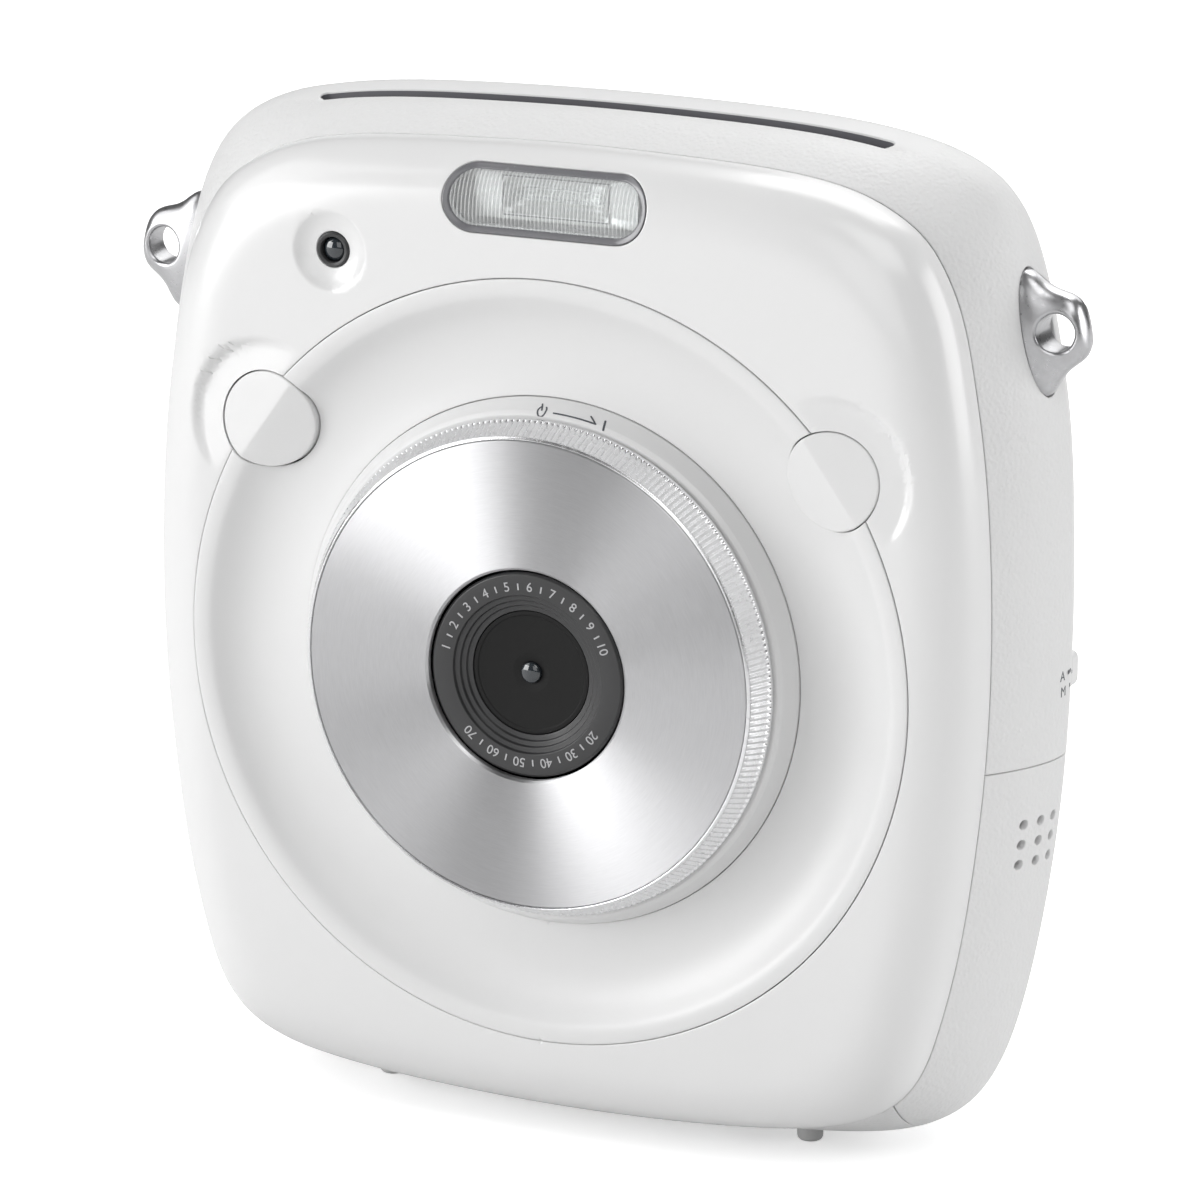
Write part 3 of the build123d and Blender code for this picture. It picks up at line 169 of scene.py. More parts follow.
class Shell:
    """Loft through the outlines. Its domain is (u, q): u in mm round the outline from the top,
    positive towards +X; q along the stations. end_mix is the outline mix of the flat end."""

    def __init__(self, stations, end_mix, least_inset):
        y, mix, inset = np.array(stations, float).T
        steps = np.sqrt(np.diff(y) ** 2 + np.diff(inset) ** 2 + (4.5 * np.diff(mix)) ** 2)
        q = np.r_[0, np.cumsum(steps)]
        self.q = np.linspace(0, q[-1], 1500)
        self.y, self.mix, self.inset = (pchip(q, column, self.q) for column in (y, mix, inset))
        self.end_mix, self.least_inset = end_mix, least_inset

    def q_of_y(self, y):
        return np.interp(np.asarray(y, float), self.y, self.q)

    def __call__(self, uq):
        u, q = uq[:, 0], uq[:, 1]
        y, mix, inset = (np.interp(q, self.q, col) for col in (self.y, self.mix, self.inset))
        outline = (1 - mix)[:, None] * SEAM_AT(u) + mix[:, None] * WIDE_AT(u)
        half_width, middle, half_height = extents(mix)
        return np.c_[outline[:, 0] * OUTLINE_SCALE * (1 - inset / half_width), y, LENS_Z + middle
                     + (outline[:, 1] * OUTLINE_SCALE - middle) * (1 - inset / half_height)]

    def uq_at(self, x, z):
        """Domain point over a place in the XZ plane, found by bisecting the inset."""
        half_width, middle, half_height = extents(self.end_mix)
        outline = ((1 - self.end_mix) * SEAM_AT(OUTLINE_STEPS)
                   + self.end_mix * WIDE_AT(OUTLINE_STEPS)) * OUTLINE_SCALE
        angle = np.unwrap(np.arctan2(outline[:, 0], outline[:, 1] - middle))
        angle -= 2 * math.pi * round(angle[len(angle) // 2] / (2 * math.pi))
        radius = np.hypot(outline[:, 0], outline[:, 1] - middle)
        x, z = np.asarray(x, float), np.asarray(z, float) - LENS_Z - middle
        low, high = np.full(x.shape, -6.0), np.full(x.shape, 52.0)
        for _ in range(40):
            inset = (low + high) / 2
            wide, tall = x / (1 - inset / half_width), z / (1 - inset / half_height)
            over = np.hypot(wide, tall) - np.interp(np.arctan2(wide, tall), angle, radius)
            low, high = np.where(over < 0, inset, low), np.where(over < 0, high, inset)
        inset = (low + high) / 2
        turn = np.arctan2(x / (1 - inset / half_width), z / (1 - inset / half_height))
        return np.c_[np.interp(turn, angle, OUTLINE_STEPS),
                     np.interp(np.maximum(inset, self.least_inset), self.inset, self.q)]

    def y_at(self, x, z):
        return np.interp(self.uq_at(x, z)[:, 1], self.q, self.y)


BODY = Shell(BODY_STATIONS, end_mix=1.0, least_inset=0.001)
COVER = Shell(COVER_STATIONS, end_mix=0.0, least_inset=-math.inf)


def x_of(points):
    return points[:, 0]


def z_of(points):
    return points[:, 2]


def find_uq(y, want, measure, low, high):
    """Domain points on the body at depths y where measure(points) is want, u in low to high."""
    y = np.atleast_1d(np.asarray(y, float))
    want = np.broadcast_to(np.asarray(want, float), y.shape)
    q = BODY.q_of_y(y)
    low, high = np.full(y.shape, float(low)), np.full(y.shape, float(high))
    at_low = measure(BODY(np.c_[low, q])) - want
    for _ in range(44):
        middle = (low + high) / 2
        same = np.sign(measure(BODY(np.c_[middle, q])) - want) == np.sign(at_low)
        low, high = np.where(same, middle, low), np.where(same, high, middle)
    return np.c_[(low + high) / 2, q]


# ------------------------------------------------------------------ polygons
def resample(loop, step):
    loop = np.asarray(loop, float)
    out = []
    for start, end in zip(loop, np.roll(loop, -1, 0)):
        count = max(1, int(math.ceil(np.hypot(*(end - start)) / step)))
        out.append(start + (end - start) * (np.arange(count) / count)[:, None])
    return np.vstack(out)


def area(loop):
    x, y = loop[:, 0], loop[:, 1]
    return 0.5 * np.sum(x * np.roll(y, -1) - np.roll(x, -1) * y)


def circle(x, z, radius, count):
    angle = np.linspace(0, 2 * math.pi, count, endpoint=False)
    return np.c_[x + radius * np.cos(angle), z + radius * np.sin(angle)]


def stadium(x, z, length, height, count):
    radius, half = height / 2, (length - height) / 2
    angle = np.linspace(-math.pi / 2, math.pi / 2, count)
    right = np.c_[x + half + radius * np.cos(angle), z + radius * np.sin(angle)]
    left = np.c_[x - half - radius * np.cos(angle), z - radius * np.sin(angle)]
    return np.vstack([right, left])


def round_rect(x, z, width, height, radius, count):
    out = []
    for side_x, side_z, start in ((1, 1, 0), (-1, 1, 90), (-1, -1, 180), (1, -1, 270)):
        angle = np.radians(np.linspace(start, start + 90, count))
        out.append(np.c_[x + side_x * (width / 2 - radius) + radius * np.cos(angle),
                         z + side_z * (height / 2 - radius) + radius * np.sin(angle)])
    return np.vstack(out)


def segments(loops):
    return np.vstack(loops), np.vstack([np.roll(loop, -1, 0) for loop in loops])


def oriented(loops):
    """Outer loop anticlockwise, holes clockwise."""
    return [loop if (area(loop) > 0) == (i == 0) else loop[::-1] for i, loop in enumerate(loops)]


def segment_distance(points, starts, ends):
    """Distance of each point from the nearest segment."""
    if not len(points):
        return np.zeros(0)
    marks = np.vstack([starts, ends, (starts + ends) / 2])
    owner = np.tile(np.arange(len(starts)), 3)
    tree = KDTree(len(marks))
    for i, p in enumerate(marks):
        tree.insert((p[0], p[1], 0.0), i)
    tree.balance()
    near = np.array([[owner[hit[1]] for hit in tree.find_n((p[0], p[1], 0.0), 3)] for p in points])
    start = starts[near]
    along = ends[near] - start
    offset = points[:, None] - start
    t = np.clip((offset * along).sum(2) / np.maximum((along**2).sum(2), 1e-12), 0, 1)
    return np.sqrt(((offset - t[..., None] * along) ** 2).sum(2)).min(1)


def inside(points, loops):
    """Even-odd test, in strips along the second axis."""
    hit = np.zeros(len(points), bool)
    order = np.argsort(points[:, 1])
    starts, ends = segments(loops)
    lowest, highest = np.minimum(starts[:, 1], ends[:, 1]), np.maximum(starts[:, 1], ends[:, 1])
    for i in range(0, len(points), 400):
        index = order[i:i + 400]
        x, y = points[index, 0][:, None], points[index, 1][:, None]
        near = (highest >= y.min()) & (lowest <= y.max())
        x1, y1, x2, y2 = starts[near, 0], starts[near, 1], ends[near, 0], ends[near, 1]
        spans = (y1 > y) != (y2 > y)
        with np.errstate(divide="ignore", invalid="ignore"):
            crossing = x1 + (y - y1) * (x2 - x1) / (y2 - y1)
            hit[index] = (np.sum(spans & (x < crossing), axis=1) % 2).astype(bool)
    return hit


def triangulate(loops, creases, points, tolerance):
    """Triangles inside the loops, with loops and creases kept as edges."""
    verts, edges, total = [], [], 0
    for loop in loops + creases:
        count = len(loop)
        edges += [(total + i, total + (i + 1) % count) for i in range(count)]
        verts.append(loop)
        total += count
    verts = np.vstack(verts + points)
    result = delaunay_2d_cdt([Vector(p) for p in verts], edges, [], 0, tolerance)
    verts = np.array([tuple(p) for p in result[0]], float)
    tris = np.array([tuple(face) for face in result[2]], int)
    return verts, tris[inside(verts[tris].mean(1), loops)]


# ------------------------------------------------------------------ meshes
def make(name, points, faces, mesh_name=None):
    mesh = bpy.data.meshes.new(mesh_name or name)
    mesh.from_pydata((np.asarray(points) * MM).tolist(), [], faces)
    mesh.update()
    ob = bpy.data.objects.new(name, mesh)
    bpy.context.scene.collection.objects.link(ob)
    return ob


def shade(mesh, sharp):
    mesh.polygons.foreach_set("use_smooth", [True] * len(mesh.polygons))
    mesh.set_sharp_from_angle(angle=math.radians(sharp))


def clean(ob, sharp):
    """Merge doubles, turn the normals out and shade smooth up to sharp degrees."""
    bm = bmesh.new()
    bm.from_mesh(ob.data)
    bmesh.ops.remove_doubles(bm, verts=bm.verts, dist=1e-7)
    bmesh.ops.dissolve_degenerate(bm, edges=bm.edges, dist=1e-8)
    bmesh.ops.recalc_face_normals(bm, faces=bm.faces)
    bm.to_mesh(ob.data)
    bm.free()
    shade(ob.data, sharp)


def solid(name, points, faces, sharp):
    ob = make(name, points, faces)
    clean(ob, sharp)
    return ob


EDGE_ROWS = (0.045, 0.10, 0.17, 0.32, 0.55)     # offsets inside the edge, for a 0.16 radius


def edge_points(loops, starts, ends, edge, seams):
    """Rows of points just inside the rounded edges."""
    rows = []
    for row in EDGE_ROWS:
        offset = row * edge / 0.16 if row < 0.3 else row
        for loop in loops:
            along = np.roll(loop, -1, 0) - np.roll(loop, 1, 0)
            along /= np.maximum(np.hypot(along[:, 0], along[:, 1]), 1e-9)[:, None]
            points = loop + np.c_[-along[:, 1], along[:, 0]] * offset
            if offset > 0.3:
                points = points[::2]
            keep = segment_distance(points, starts, ends) > offset * 0.985
            if seams:
                keep &= (points[:, 0] > min(seams) + 0.02) & (points[:, 0] < max(seams) - 0.02)
            rows.append(points[keep])
    return rows


def grid_points(low, high, step, rows):
    """Staggered rows of points over a box."""
    if rows is None:
        rows = np.arange(low[1] + step / 2, high[1], step * 0.87)
    grid = [np.zeros((0, 2))]
    for k, row in enumerate(rows):
        across = np.arange(low[0] + (step / 2 if k % 2 else step), high[0] - step * 0.3, step)
        grid.append(np.c_[across, np.full(len(across), row)])
    return np.vstack(grid)


def corner_cross(points, tris):
    return np.cross(points[tris[:, 1]] - points[tris[:, 0]], points[tris[:, 2]] - points[tris[:, 0]])


def panel(name, loops, surface, depth, step=1.1, border_step=0.55, edge=0.16, reshape=None,
          extra=None, creases=(), seams=(), inward=None, rows=None, mask=None):
    """Closed shell piece over a 2D domain.

    loops: outer loop then holes; surface: domain to mm; depth: the wall; edge: radius of the
    rounded edges; reshape(points, domain): changes the outside; extra: more domain points;
    creases: closed loops kept as edges; seams: two domain sides that weld into a closed strip;
    inward: direction of the wall; rows: grid rows; mask(points): values of the mask attribute."""
    loops = oriented([resample(loop, border_step) for loop in loops])
    starts, ends = segments(loops)
    low, high = starts.min(0), starts.max(0)
    keep = np.ones(len(starts), bool)
    for side in seams:
        keep &= ~((np.abs(starts[:, 0] - side) < 1e-6) & (np.abs(ends[:, 0] - side) < 1e-6))
    starts, ends = starts[keep], ends[keep]
    points = edge_points(loops, starts, ends, edge, seams) if edge > 0 else []
    grid = grid_points(low, high, step, rows)
    clearance = 0.8 if edge > 0 else 0.3
    if extra is not None:
        grid = np.vstack([grid, extra])
        clearance = 0.4
    grid = grid[inside(grid, loops)]
    grid = grid[segment_distance(grid, starts, ends) > clearance]
    creases = [resample(loop, border_step) for loop in creases]
    if creases:
        grid = grid[segment_distance(grid, *segments(creases)) > 0.25]
    domain, tris = triangulate(loops, creases, points + [grid], 1e-5)
    tris = tris[np.abs(corner_cross(domain, tris)) > 1e-9]
    used, tris = np.unique(tris, return_inverse=True)
    domain, tris = domain[used], tris.reshape(-1, 3)
    turned = corner_cross(domain, tris) < 0
    tris[turned] = tris[turned][:, ::-1]

    top = surface(domain)
    nudge = 0.03
    normals = np.cross(surface(domain + (nudge, 0)) - surface(domain - (nudge, 0)),
                       surface(domain + (0, nudge)) - surface(domain - (0, nudge)))
    normals /= np.maximum(np.linalg.norm(normals, axis=1), 1e-12)[:, None]
    if inward is not None:
        into = np.broadcast_to(np.asarray(inward, float), normals.shape)
        flip = np.sign(-(normals * into).sum(1))
        flip[flip == 0] = 1
        normals = normals * flip[:, None]
    else:
        if np.sum(normals * (top - (0, 0, LENS_Z))) < 0:
            normals = -normals
        into = -normals
    under = top + into * depth
    outer = top
    if edge > 0:
        near = np.minimum(9.0, segment_distance(domain, starts, ends))
        arc = edge - np.sqrt(np.maximum(edge**2 - (edge - near) ** 2, 0))
        outer = top - normals * np.where(near < edge, arc, 0.0)[:, None]
    if reshape is not None:
        outer = reshape(outer, domain)
        thin = ((under - outer) * into).sum(1)[:, None] < depth * 0.45
        under = np.where(thin, outer + into * depth * 0.45, under)
    if seams:
        first, second = (np.where(np.abs(domain[:, 0] - side) < 1e-6)[0] for side in seams)
        weld = np.arange(len(domain))
        weld[second[np.argsort(domain[second, 1])]] = first[np.argsort(domain[first, 1])]
        tris = weld[tris]
    sample = tris[:: max(1, len(tris) // 200)]
    if np.sum(corner_cross(outer, sample) * normals[sample[:, 0]]) < 0:
        tris = tris[:, ::-1]

    count = len(domain)
    faces = [tuple(tri) for tri in tris.tolist()]
    edges = dict.fromkeys(pair for a, b, c in faces for pair in ((a, b), (b, c), (c, a)))
    faces += [(a + count, c + count, b + count) for a, b, c in faces]
    faces += [(b, a, a + count, b + count) for a, b in edges if (b, a) not in edges]
    used = np.unique([i for face in faces for i in face])
    remap = dict(zip(used.tolist(), range(len(used))))
    points = np.vstack([outer, under])[used]
    ob = make(name, points, [tuple(remap[i] for i in face) for face in faces])
    shade(ob.data, 38)
    if mask is not None:
        attribute = ob.data.attributes.new("mask", "FLOAT", "POINT")
        attribute.data.foreach_set("value", mask(points).astype(np.float32))
    return ob


def full_mask(points):
    return np.ones(len(points))


def flat_at(y):
    """Surface of a plane across Y over an (x, z) domain."""
    return lambda plan: np.c_[plan[:, 0], np.full(len(plan), y), plan[:, 1]]


def rounded(rows, steps=5):
    """Closed profile with rounded corners; rows are (radius, place on the axis, corner radius)."""
    points = [np.array(row[:2], float) for row in rows]
    out = []
    for i, (corner, row) in enumerate(zip(points, rows)):
        if row[2] <= 0:
            out.append(corner)
            continue
        back, ahead = points[i - 1] - corner, points[(i + 1) % len(points)] - corner
        back_length, ahead_length = np.linalg.norm(back), np.linalg.norm(ahead)
        back, ahead = back / back_length, ahead / ahead_length
        angle = math.acos(float(back @ ahead))
        cut = min(row[2] / math.tan(angle / 2), back_length * 0.45, ahead_length * 0.45)
        start, end = corner + back * cut, corner + ahead * cut
        for k in range(steps + 1):
            t = k / steps
            out.append((1 - t) ** 2 * start + 2 * t * (1 - t) * corner + t * t * end)
    return np.array(out)


def lathe(name, profile, count, centre=(0.0, LENS_Z), axis="Y"):
    """Closed (radius, axial) profile turned about Y at centre (x, z), or about Z at (x, y)."""
    profile = np.asarray(profile, float)
    angle = np.linspace(0, 2 * math.pi, count, endpoint=False)[:, None]
    across = centre[0] + profile[:, 0] * np.cos(angle)
    other = centre[1] + profile[:, 0] * np.sin(angle)
    axial = profile[:, 1] + 0 * angle
    columns = (across, axial, other) if axis == "Y" else (across, other, axial)
    n = len(profile)
    faces = []
    for i in range(count):
        j = (i + 1) % count
        for k in range(n):
            m = (k + 1) % n
            if profile[k, 0] >= 1e-9 or profile[m, 0] >= 1e-9:
                faces.append((i * n + k, i * n + m, j * n + m, j * n + k))
    return solid(name, np.stack(columns, 2).reshape(-1, 3), faces, sharp=32)


def knurled(name, teeth, profile, depth, z=LENS_Z):
    """Turned about Y with straight teeth; profile is (radius, y, share of the tooth depth)."""
    per_tooth = 6
    count = teeth * per_tooth
    angle = np.linspace(0, 2 * math.pi, count, endpoint=False)[:, None]
    tooth = np.abs(((np.arange(count) % per_tooth) / per_tooth) * 2 - 1)
    tooth = np.clip(tooth * 1.5 - 0.25, 0, 1)
    radius = profile[:, 0][None] - depth * profile[:, 2][None] * tooth[:, None]
    points = np.stack([radius * np.cos(angle), np.broadcast_to(profile[:, 1], radius.shape),
                       z + radius * np.sin(angle)], 2).reshape(-1, 3)
    n = len(profile)
    here = np.arange(count) * n
    ahead = np.roll(here, -1)
    faces = [np.c_[here + k, here + (k + 1) % n, ahead + (k + 1) % n, ahead + k]
             for k in range(n)]
    return solid(name, points, np.vstack(faces).tolist(), sharp=28)


def grid_quads(rows, cols):
    return [(i * cols + k, i * cols + k + 1, (i + 1) * cols + k + 1, (i + 1) * cols + k)
            for i in range(rows - 1) for k in range(cols - 1)]


def grid_rim(rows, cols):
    return ([i * cols for i in range(rows)] + [(rows - 1) * cols + k for k in range(1, cols)]
            + [i * cols + cols - 1 for i in range(rows - 2, -1, -1)]
            + list(range(cols - 2, 0, -1)))


def capped_grid(name, points, rows, cols, base_of, sharp):
    """Grid of points closed by walls down to the base points of its rim."""
    rim, start = grid_rim(rows, cols), len(points)
    count = len(rim)
    faces = grid_quads(rows, cols)
    faces += [(rim[i], rim[(i + 1) % count], start + (i + 1) % count, start + i)
              for i in range(count)]
    faces.append(tuple(range(start, start + count)))
    return solid(name, points + [base_of(*points[i]) for i in rim], faces, sharp)


def prisms(name, loop_pairs):
    """Prisms between pairs of loops, not yet cleaned."""
    points, faces = [], []
    for first, second in loop_pairs:
        start, n = len(points), len(first)
        points += [*first, *second]
        faces.append(tuple(range(start, start + n)))
        faces.append(tuple(range(start + 2 * n - 1, start + n - 1, -1)))
        faces += [(start + i, start + n + i, start + n + (i + 1) % n, start + (i + 1) % n)
                  for i in range(n)]
    return make(name, points, faces)


# ------------------------------------------------------------------ materials
def node(tree, kind, inputs=(), **settings):
    """New node; inputs maps sockets to values or to the outputs that feed them."""
    new = tree.nodes.new(kind)
    for key, value in settings.items():
        setattr(new, key, value)
    feed(tree, new, dict(inputs))
    return new


def feed(tree, target, inputs):
    for key, value in inputs.items():
        if isinstance(value, bpy.types.NodeSocket):
            tree.links.new(value, target.inputs[key])
        else:
            target.inputs[key].default_value = value


def new_material(name):
    material = bpy.data.materials.new(name)
    material.use_nodes = True
    tree = material.node_tree
    return material, tree, next(n for n in tree.nodes if n.type == "BSDF_PRINCIPLED")


def object_vector(tree, stretch=(1, 1, 1)):
    coords = node(tree, "ShaderNodeTexCoord").outputs["Object"]
    return node(tree, "ShaderNodeMapping", {"Vector": coords, "Scale": stretch}).outputs["Vector"]


def noise(tree, vector, per_mm, detail=3.0, roughness=0.55):
    return node(tree, "ShaderNodeTexNoise", {
        "Scale": per_mm * 1000.0, "Detail": detail, "Roughness": roughness,
        "Vector": vector}).outputs["Fac"]


def ramp(tree, factor, low, high, start=0.3, end=0.7):
    return node(tree, "ShaderNodeMapRange", {
        "From Min": start, "From Max": end, "To Min": low, "To Max": high,
        "Value": factor}).outputs["Result"]


def mix_colour(tree, factor, first, second):
    return node(tree, "ShaderNodeMix", {0: factor, 6: (*first, 1), 7: (*second, 1)},
                data_type="RGBA").outputs[2]


def bump(tree, height, strength, distance_mm, **settings):
    return node(tree, "ShaderNodeBump", {"Strength": strength, "Distance": distance_mm * MM,
                                         "Height": height}, **settings)


def plastic(name, colour, rough, coat=0.0, coat_rough=0.1, vary=0.02, grain=0.0, fine=0.02,
            mask=False, specular=0.5):
    """vary: drift of colour and roughness; fine, grain: bump strengths; mask: grain by attribute."""
    material, tree, shader = new_material(name)
    vector = object_vector(tree)
    darker = tuple(max(0, c - vary) for c in colour)
    drift = ramp(tree, noise(tree, vector, per_mm=0.03, detail=2), low=0, high=1)
    normal = bump(tree, noise(tree, vector, per_mm=6.0, detail=2), fine, distance_mm=0.02)
    if grain:
        warp = node(tree, "ShaderNodeTexNoise", {"Scale": 900.0, "Vector": vector})
        warped = node(tree, "ShaderNodeVectorMath", {
            0: warp.outputs["Color"], 1: (0.0005,) * 3, 2: vector}, operation="MULTIPLY_ADD")
        grain_mm = 0.55
        cells = node(tree, "ShaderNodeTexVoronoi", {
            "Scale": 1000.0 / grain_mm, "Smoothness": 0.6, "Vector": warped.outputs[0]},
            feature="SMOOTH_F1")
        height = node(tree, "ShaderNodeMath", {
            0: noise(tree, vector, per_mm=2.6, detail=3), 1: 0.5,
            2: cells.outputs["Distance"]}, operation="MULTIPLY_ADD")
        fine_normal = normal.outputs["Normal"]
        normal = bump(tree, height.outputs[0], grain, distance_mm=0.09, invert=True)
        feed(tree, normal, {"Normal": fine_normal})
        if mask:
            share = node(tree, "ShaderNodeAttribute", attribute_name="mask").outputs["Fac"]
            strength = node(tree, "ShaderNodeMath", {0: share, 1: grain}, operation="MULTIPLY")
            feed(tree, normal, {"Strength": strength.outputs[0]})
    feed(tree, shader, {
        "Base Color": mix_colour(tree, drift, colour, darker),
        "Roughness": ramp(tree, noise(tree, vector, per_mm=0.35),
                          low=rough - 1.5 * vary, high=rough + 1.5 * vary),
        "Specular IOR Level": specular, "Coat Weight": coat, "Coat Roughness": coat_rough,
        "Normal": normal.outputs["Normal"]})
    return material


def metal(name, colour, rough, stretch=(1, 1, 1), scratch=0.08):
    """stretch draws the noise out into brushing; scratch is the bump strength."""
    material, tree, shader = new_material(name)
    grain = noise(tree, object_vector(tree, stretch), per_mm=1.5, detail=4)
    darker = tuple(c * 0.93 for c in colour)
    feed(tree, shader, {
        "Metallic": 1.0,
        "Base Color": mix_colour(tree, ramp(tree, grain, low=0, high=1), colour, darker),
        "Roughness": ramp(tree, grain, low=rough - 0.04, high=rough + 0.05),
        "Normal": bump(tree, grain, scratch, distance_mm=0.01).outputs["Normal"]})
    return material


def turned_metal(name, colour, rough, anisotropic):
    """Metal brushed in circles round the lens axis: the noise varies mostly with the radius."""
    material, tree, shader = new_material(name)
    coords = node(tree, "ShaderNodeTexCoord").outputs["Object"]
    parts = node(tree, "ShaderNodeSeparateXYZ", {0: coords}).outputs
    rise = node(tree, "ShaderNodeMath", {0: parts["Z"], 1: LENS_Z * MM}, operation="SUBTRACT")
    spoke = node(tree, "ShaderNodeCombineXYZ", {0: parts["X"], 1: rise.outputs[0]}).outputs[0]
    radius = node(tree, "ShaderNodeVectorMath", {0: spoke}, operation="LENGTH")
    unit = node(tree, "ShaderNodeVectorMath", {0: spoke}, operation="NORMALIZE")
    small = node(tree, "ShaderNodeVectorMath", {0: unit.outputs[0], "Scale": 0.0012},
                 operation="SCALE")
    turn = node(tree, "ShaderNodeSeparateXYZ", {0: small.outputs[0]}).outputs
    vector = node(tree, "ShaderNodeCombineXYZ",
                  {0: turn["X"], 1: turn["Y"], 2: radius.outputs["Value"]}).outputs[0]
    lines = noise(tree, vector, per_mm=9.0, detail=4, roughness=0.7)
    darker = tuple(c * 0.93 for c in colour)
    tangent = node(tree, "ShaderNodeTangent", direction_type="RADIAL", axis="Y")
    feed(tree, shader, {
        "Metallic": 1.0,
        "Base Color": mix_colour(tree, ramp(tree, lines, low=0, high=1), colour, darker),
        "Roughness": ramp(tree, lines, low=rough - 0.05, high=rough + 0.06),
        "Tangent": tangent.outputs[0],
        "Anisotropic": anisotropic, "Anisotropic Rotation": 0.25,
        "Normal": bump(tree, lines, strength=0.05, distance_mm=0.006).outputs["Normal"]})
    return material


def clear_plastic(name, tint, see_through, rough):
    """Part of the light passes straight through, most of it face on."""
    material, tree, shader = new_material(name)
    vector = object_vector(tree)
    darker = tuple(c * 0.96 for c in tint)
    feed(tree, shader, {
        "Base Color": mix_colour(tree, noise(tree, vector, per_mm=0.4), tint, darker),
        "Roughness": ramp(tree, noise(tree, vector, per_mm=1.2), low=rough, high=rough + 0.06)})
    facing = node(tree, "ShaderNodeLayerWeight", {"Blend": 0.35}).outputs["Facing"]
    through = node(tree, "ShaderNodeBsdfTransparent", {0: (*tint, 1)})
    mixed = node(tree, "ShaderNodeMixShader", {
        0: ramp(tree, facing, low=1 - see_through, high=1.0, start=0.0, end=1.0),
        1: through.outputs[0], 2: shader.outputs[0]})
    output = next(n for n in tree.nodes if n.type == "OUTPUT_MATERIAL")
    feed(tree, output, {"Surface": mixed.outputs[0]})
    return material


def grey(level):
    return (level,) * 3


GLOSS = plastic("gloss_white", grey(0.70), rough=0.3, coat=0.5, coat_rough=0.16, vary=0.004,
                fine=0.008)
SATIN = plastic("satin_white", grey(0.68), rough=0.38, coat=0.12, coat_rough=0.25, vary=0.006,
                fine=0.012)
GRAIN = plastic("grained_white", grey(0.68), rough=0.48, vary=0.015, grain=0.8, mask=True)
# Unmasked variant, kept in the file for use by hand
plastic("grained_white_all", grey(0.68), rough=0.48, vary=0.015, grain=0.5)
BLACK = plastic("lens_black", (0.028, 0.028, 0.029), rough=0.34, coat=0.1, vary=0.003, fine=0.05)
FLAT = plastic("inner_black", grey(0.010), rough=0.6, vary=0.003, fine=0.06, specular=0.2)
GREY = plastic("inner_grey", (0.09, 0.09, 0.10), rough=0.45, fine=0.08)
TRIM = plastic("grey_trim", (0.16, 0.16, 0.17), rough=0.25, coat=0.5)
MARK = plastic("mark_grey", (0.07, 0.075, 0.085), rough=0.5, vary=0.01)
PALE = plastic("mark_pale", (0.42, 0.42, 0.43), rough=0.5)
RUBBER = plastic("rubber_grey", grey(0.55), rough=0.7, vary=0.03, fine=0.2)
BOARD = plastic("circuit_board", (0.02, 0.12, 0.05), rough=0.4, fine=0.1)
SHEET = plastic("print_sheet", (0.75, 0.75, 0.72), rough=0.4)
TOOTH = plastic("gear_plastic", (0.8, 0.8, 0.77), rough=0.4, vary=0.03)
SCREEN = plastic("display", (0.008, 0.009, 0.012), rough=0.08, coat=1.0, coat_rough=0.02,
                 vary=0.003, fine=0.005)
BRUSHED = turned_metal("brushed_aluminium", (0.56, 0.56, 0.57), rough=0.36, anisotropic=0.96)
SILVER = metal("knurled_silver", (0.83, 0.83, 0.84), rough=0.24)
CHROME = metal("polished_metal", (0.50, 0.50, 0.51), rough=0.30, scratch=0.0)
STEEL = metal("steel", (0.55, 0.55, 0.56), rough=0.3, stretch=(0.1, 1, 1))
BRASS = metal("brass", (0.72, 0.52, 0.24), rough=0.25)
MIRROR = metal("reflector", grey(0.92), rough=0.32)
WINDOW = clear_plastic("clear_window", (0.95, 0.96, 0.96), see_through=0.86, rough=0.06)
GLASS = plastic("lens_glass", (0.02, 0.025, 0.03), rough=0.05, coat=1.0, coat_rough=0.02,
                vary=0.005, fine=0.0)


def paint(ob, material):
    ob.data.materials.clear()
    ob.data.materials.append(material)


def piece(ob, material, body, slot, *nodes):
    """Paint an object, tie it to a moving body and name the CAD nodes it replaces."""
    paint(ob, material)
    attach(ob, body)
    if nodes:
        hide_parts(*nodes)


# CAD nodes that keep their own mesh
for material, names in (
        (FLAT, "lens_barrel shutter_switches film_pack chassis print_head memory_card"),
        (STEEL, "case_screws film_door_pins roller_frame front_roller rear_roller drive_motor"
                " film_claw"),
        (GREY, "battery flash_capacitor"), (BOARD, "image_sensor main_board"),
        (BRASS, "tripod_socket motor_pinion"), (GLASS, "rear_lens"), (WINDOW, "flash_tube"),
        (SATIN, "speaker"), (SCREEN, "lcd_panel"), (SHEET, "film_sheets"), (TOOTH, "idler_gear")):
    for name in names.split():
        paint(NODES[name], material)


# ------------------------------------------------------------------ front cover
BUTTON_REACH = math.hypot(BUTTON_X, BUTTON_Z - LENS_Z)
BUTTON_ANGLE = math.atan2(BUTTON_Z - LENS_Z, BUTTON_X)
BUTTON_COS, BUTTON_SIN = math.cos(BUTTON_ANGLE), math.sin(BUTTON_ANGLE)


def button_outward(x, z, side):
    """Distance past the centre of a button, away from the lens axis."""
    return (x - side * BUTTON_X) * side * BUTTON_COS + (z - BUTTON_Z) * BUTTON_SIN


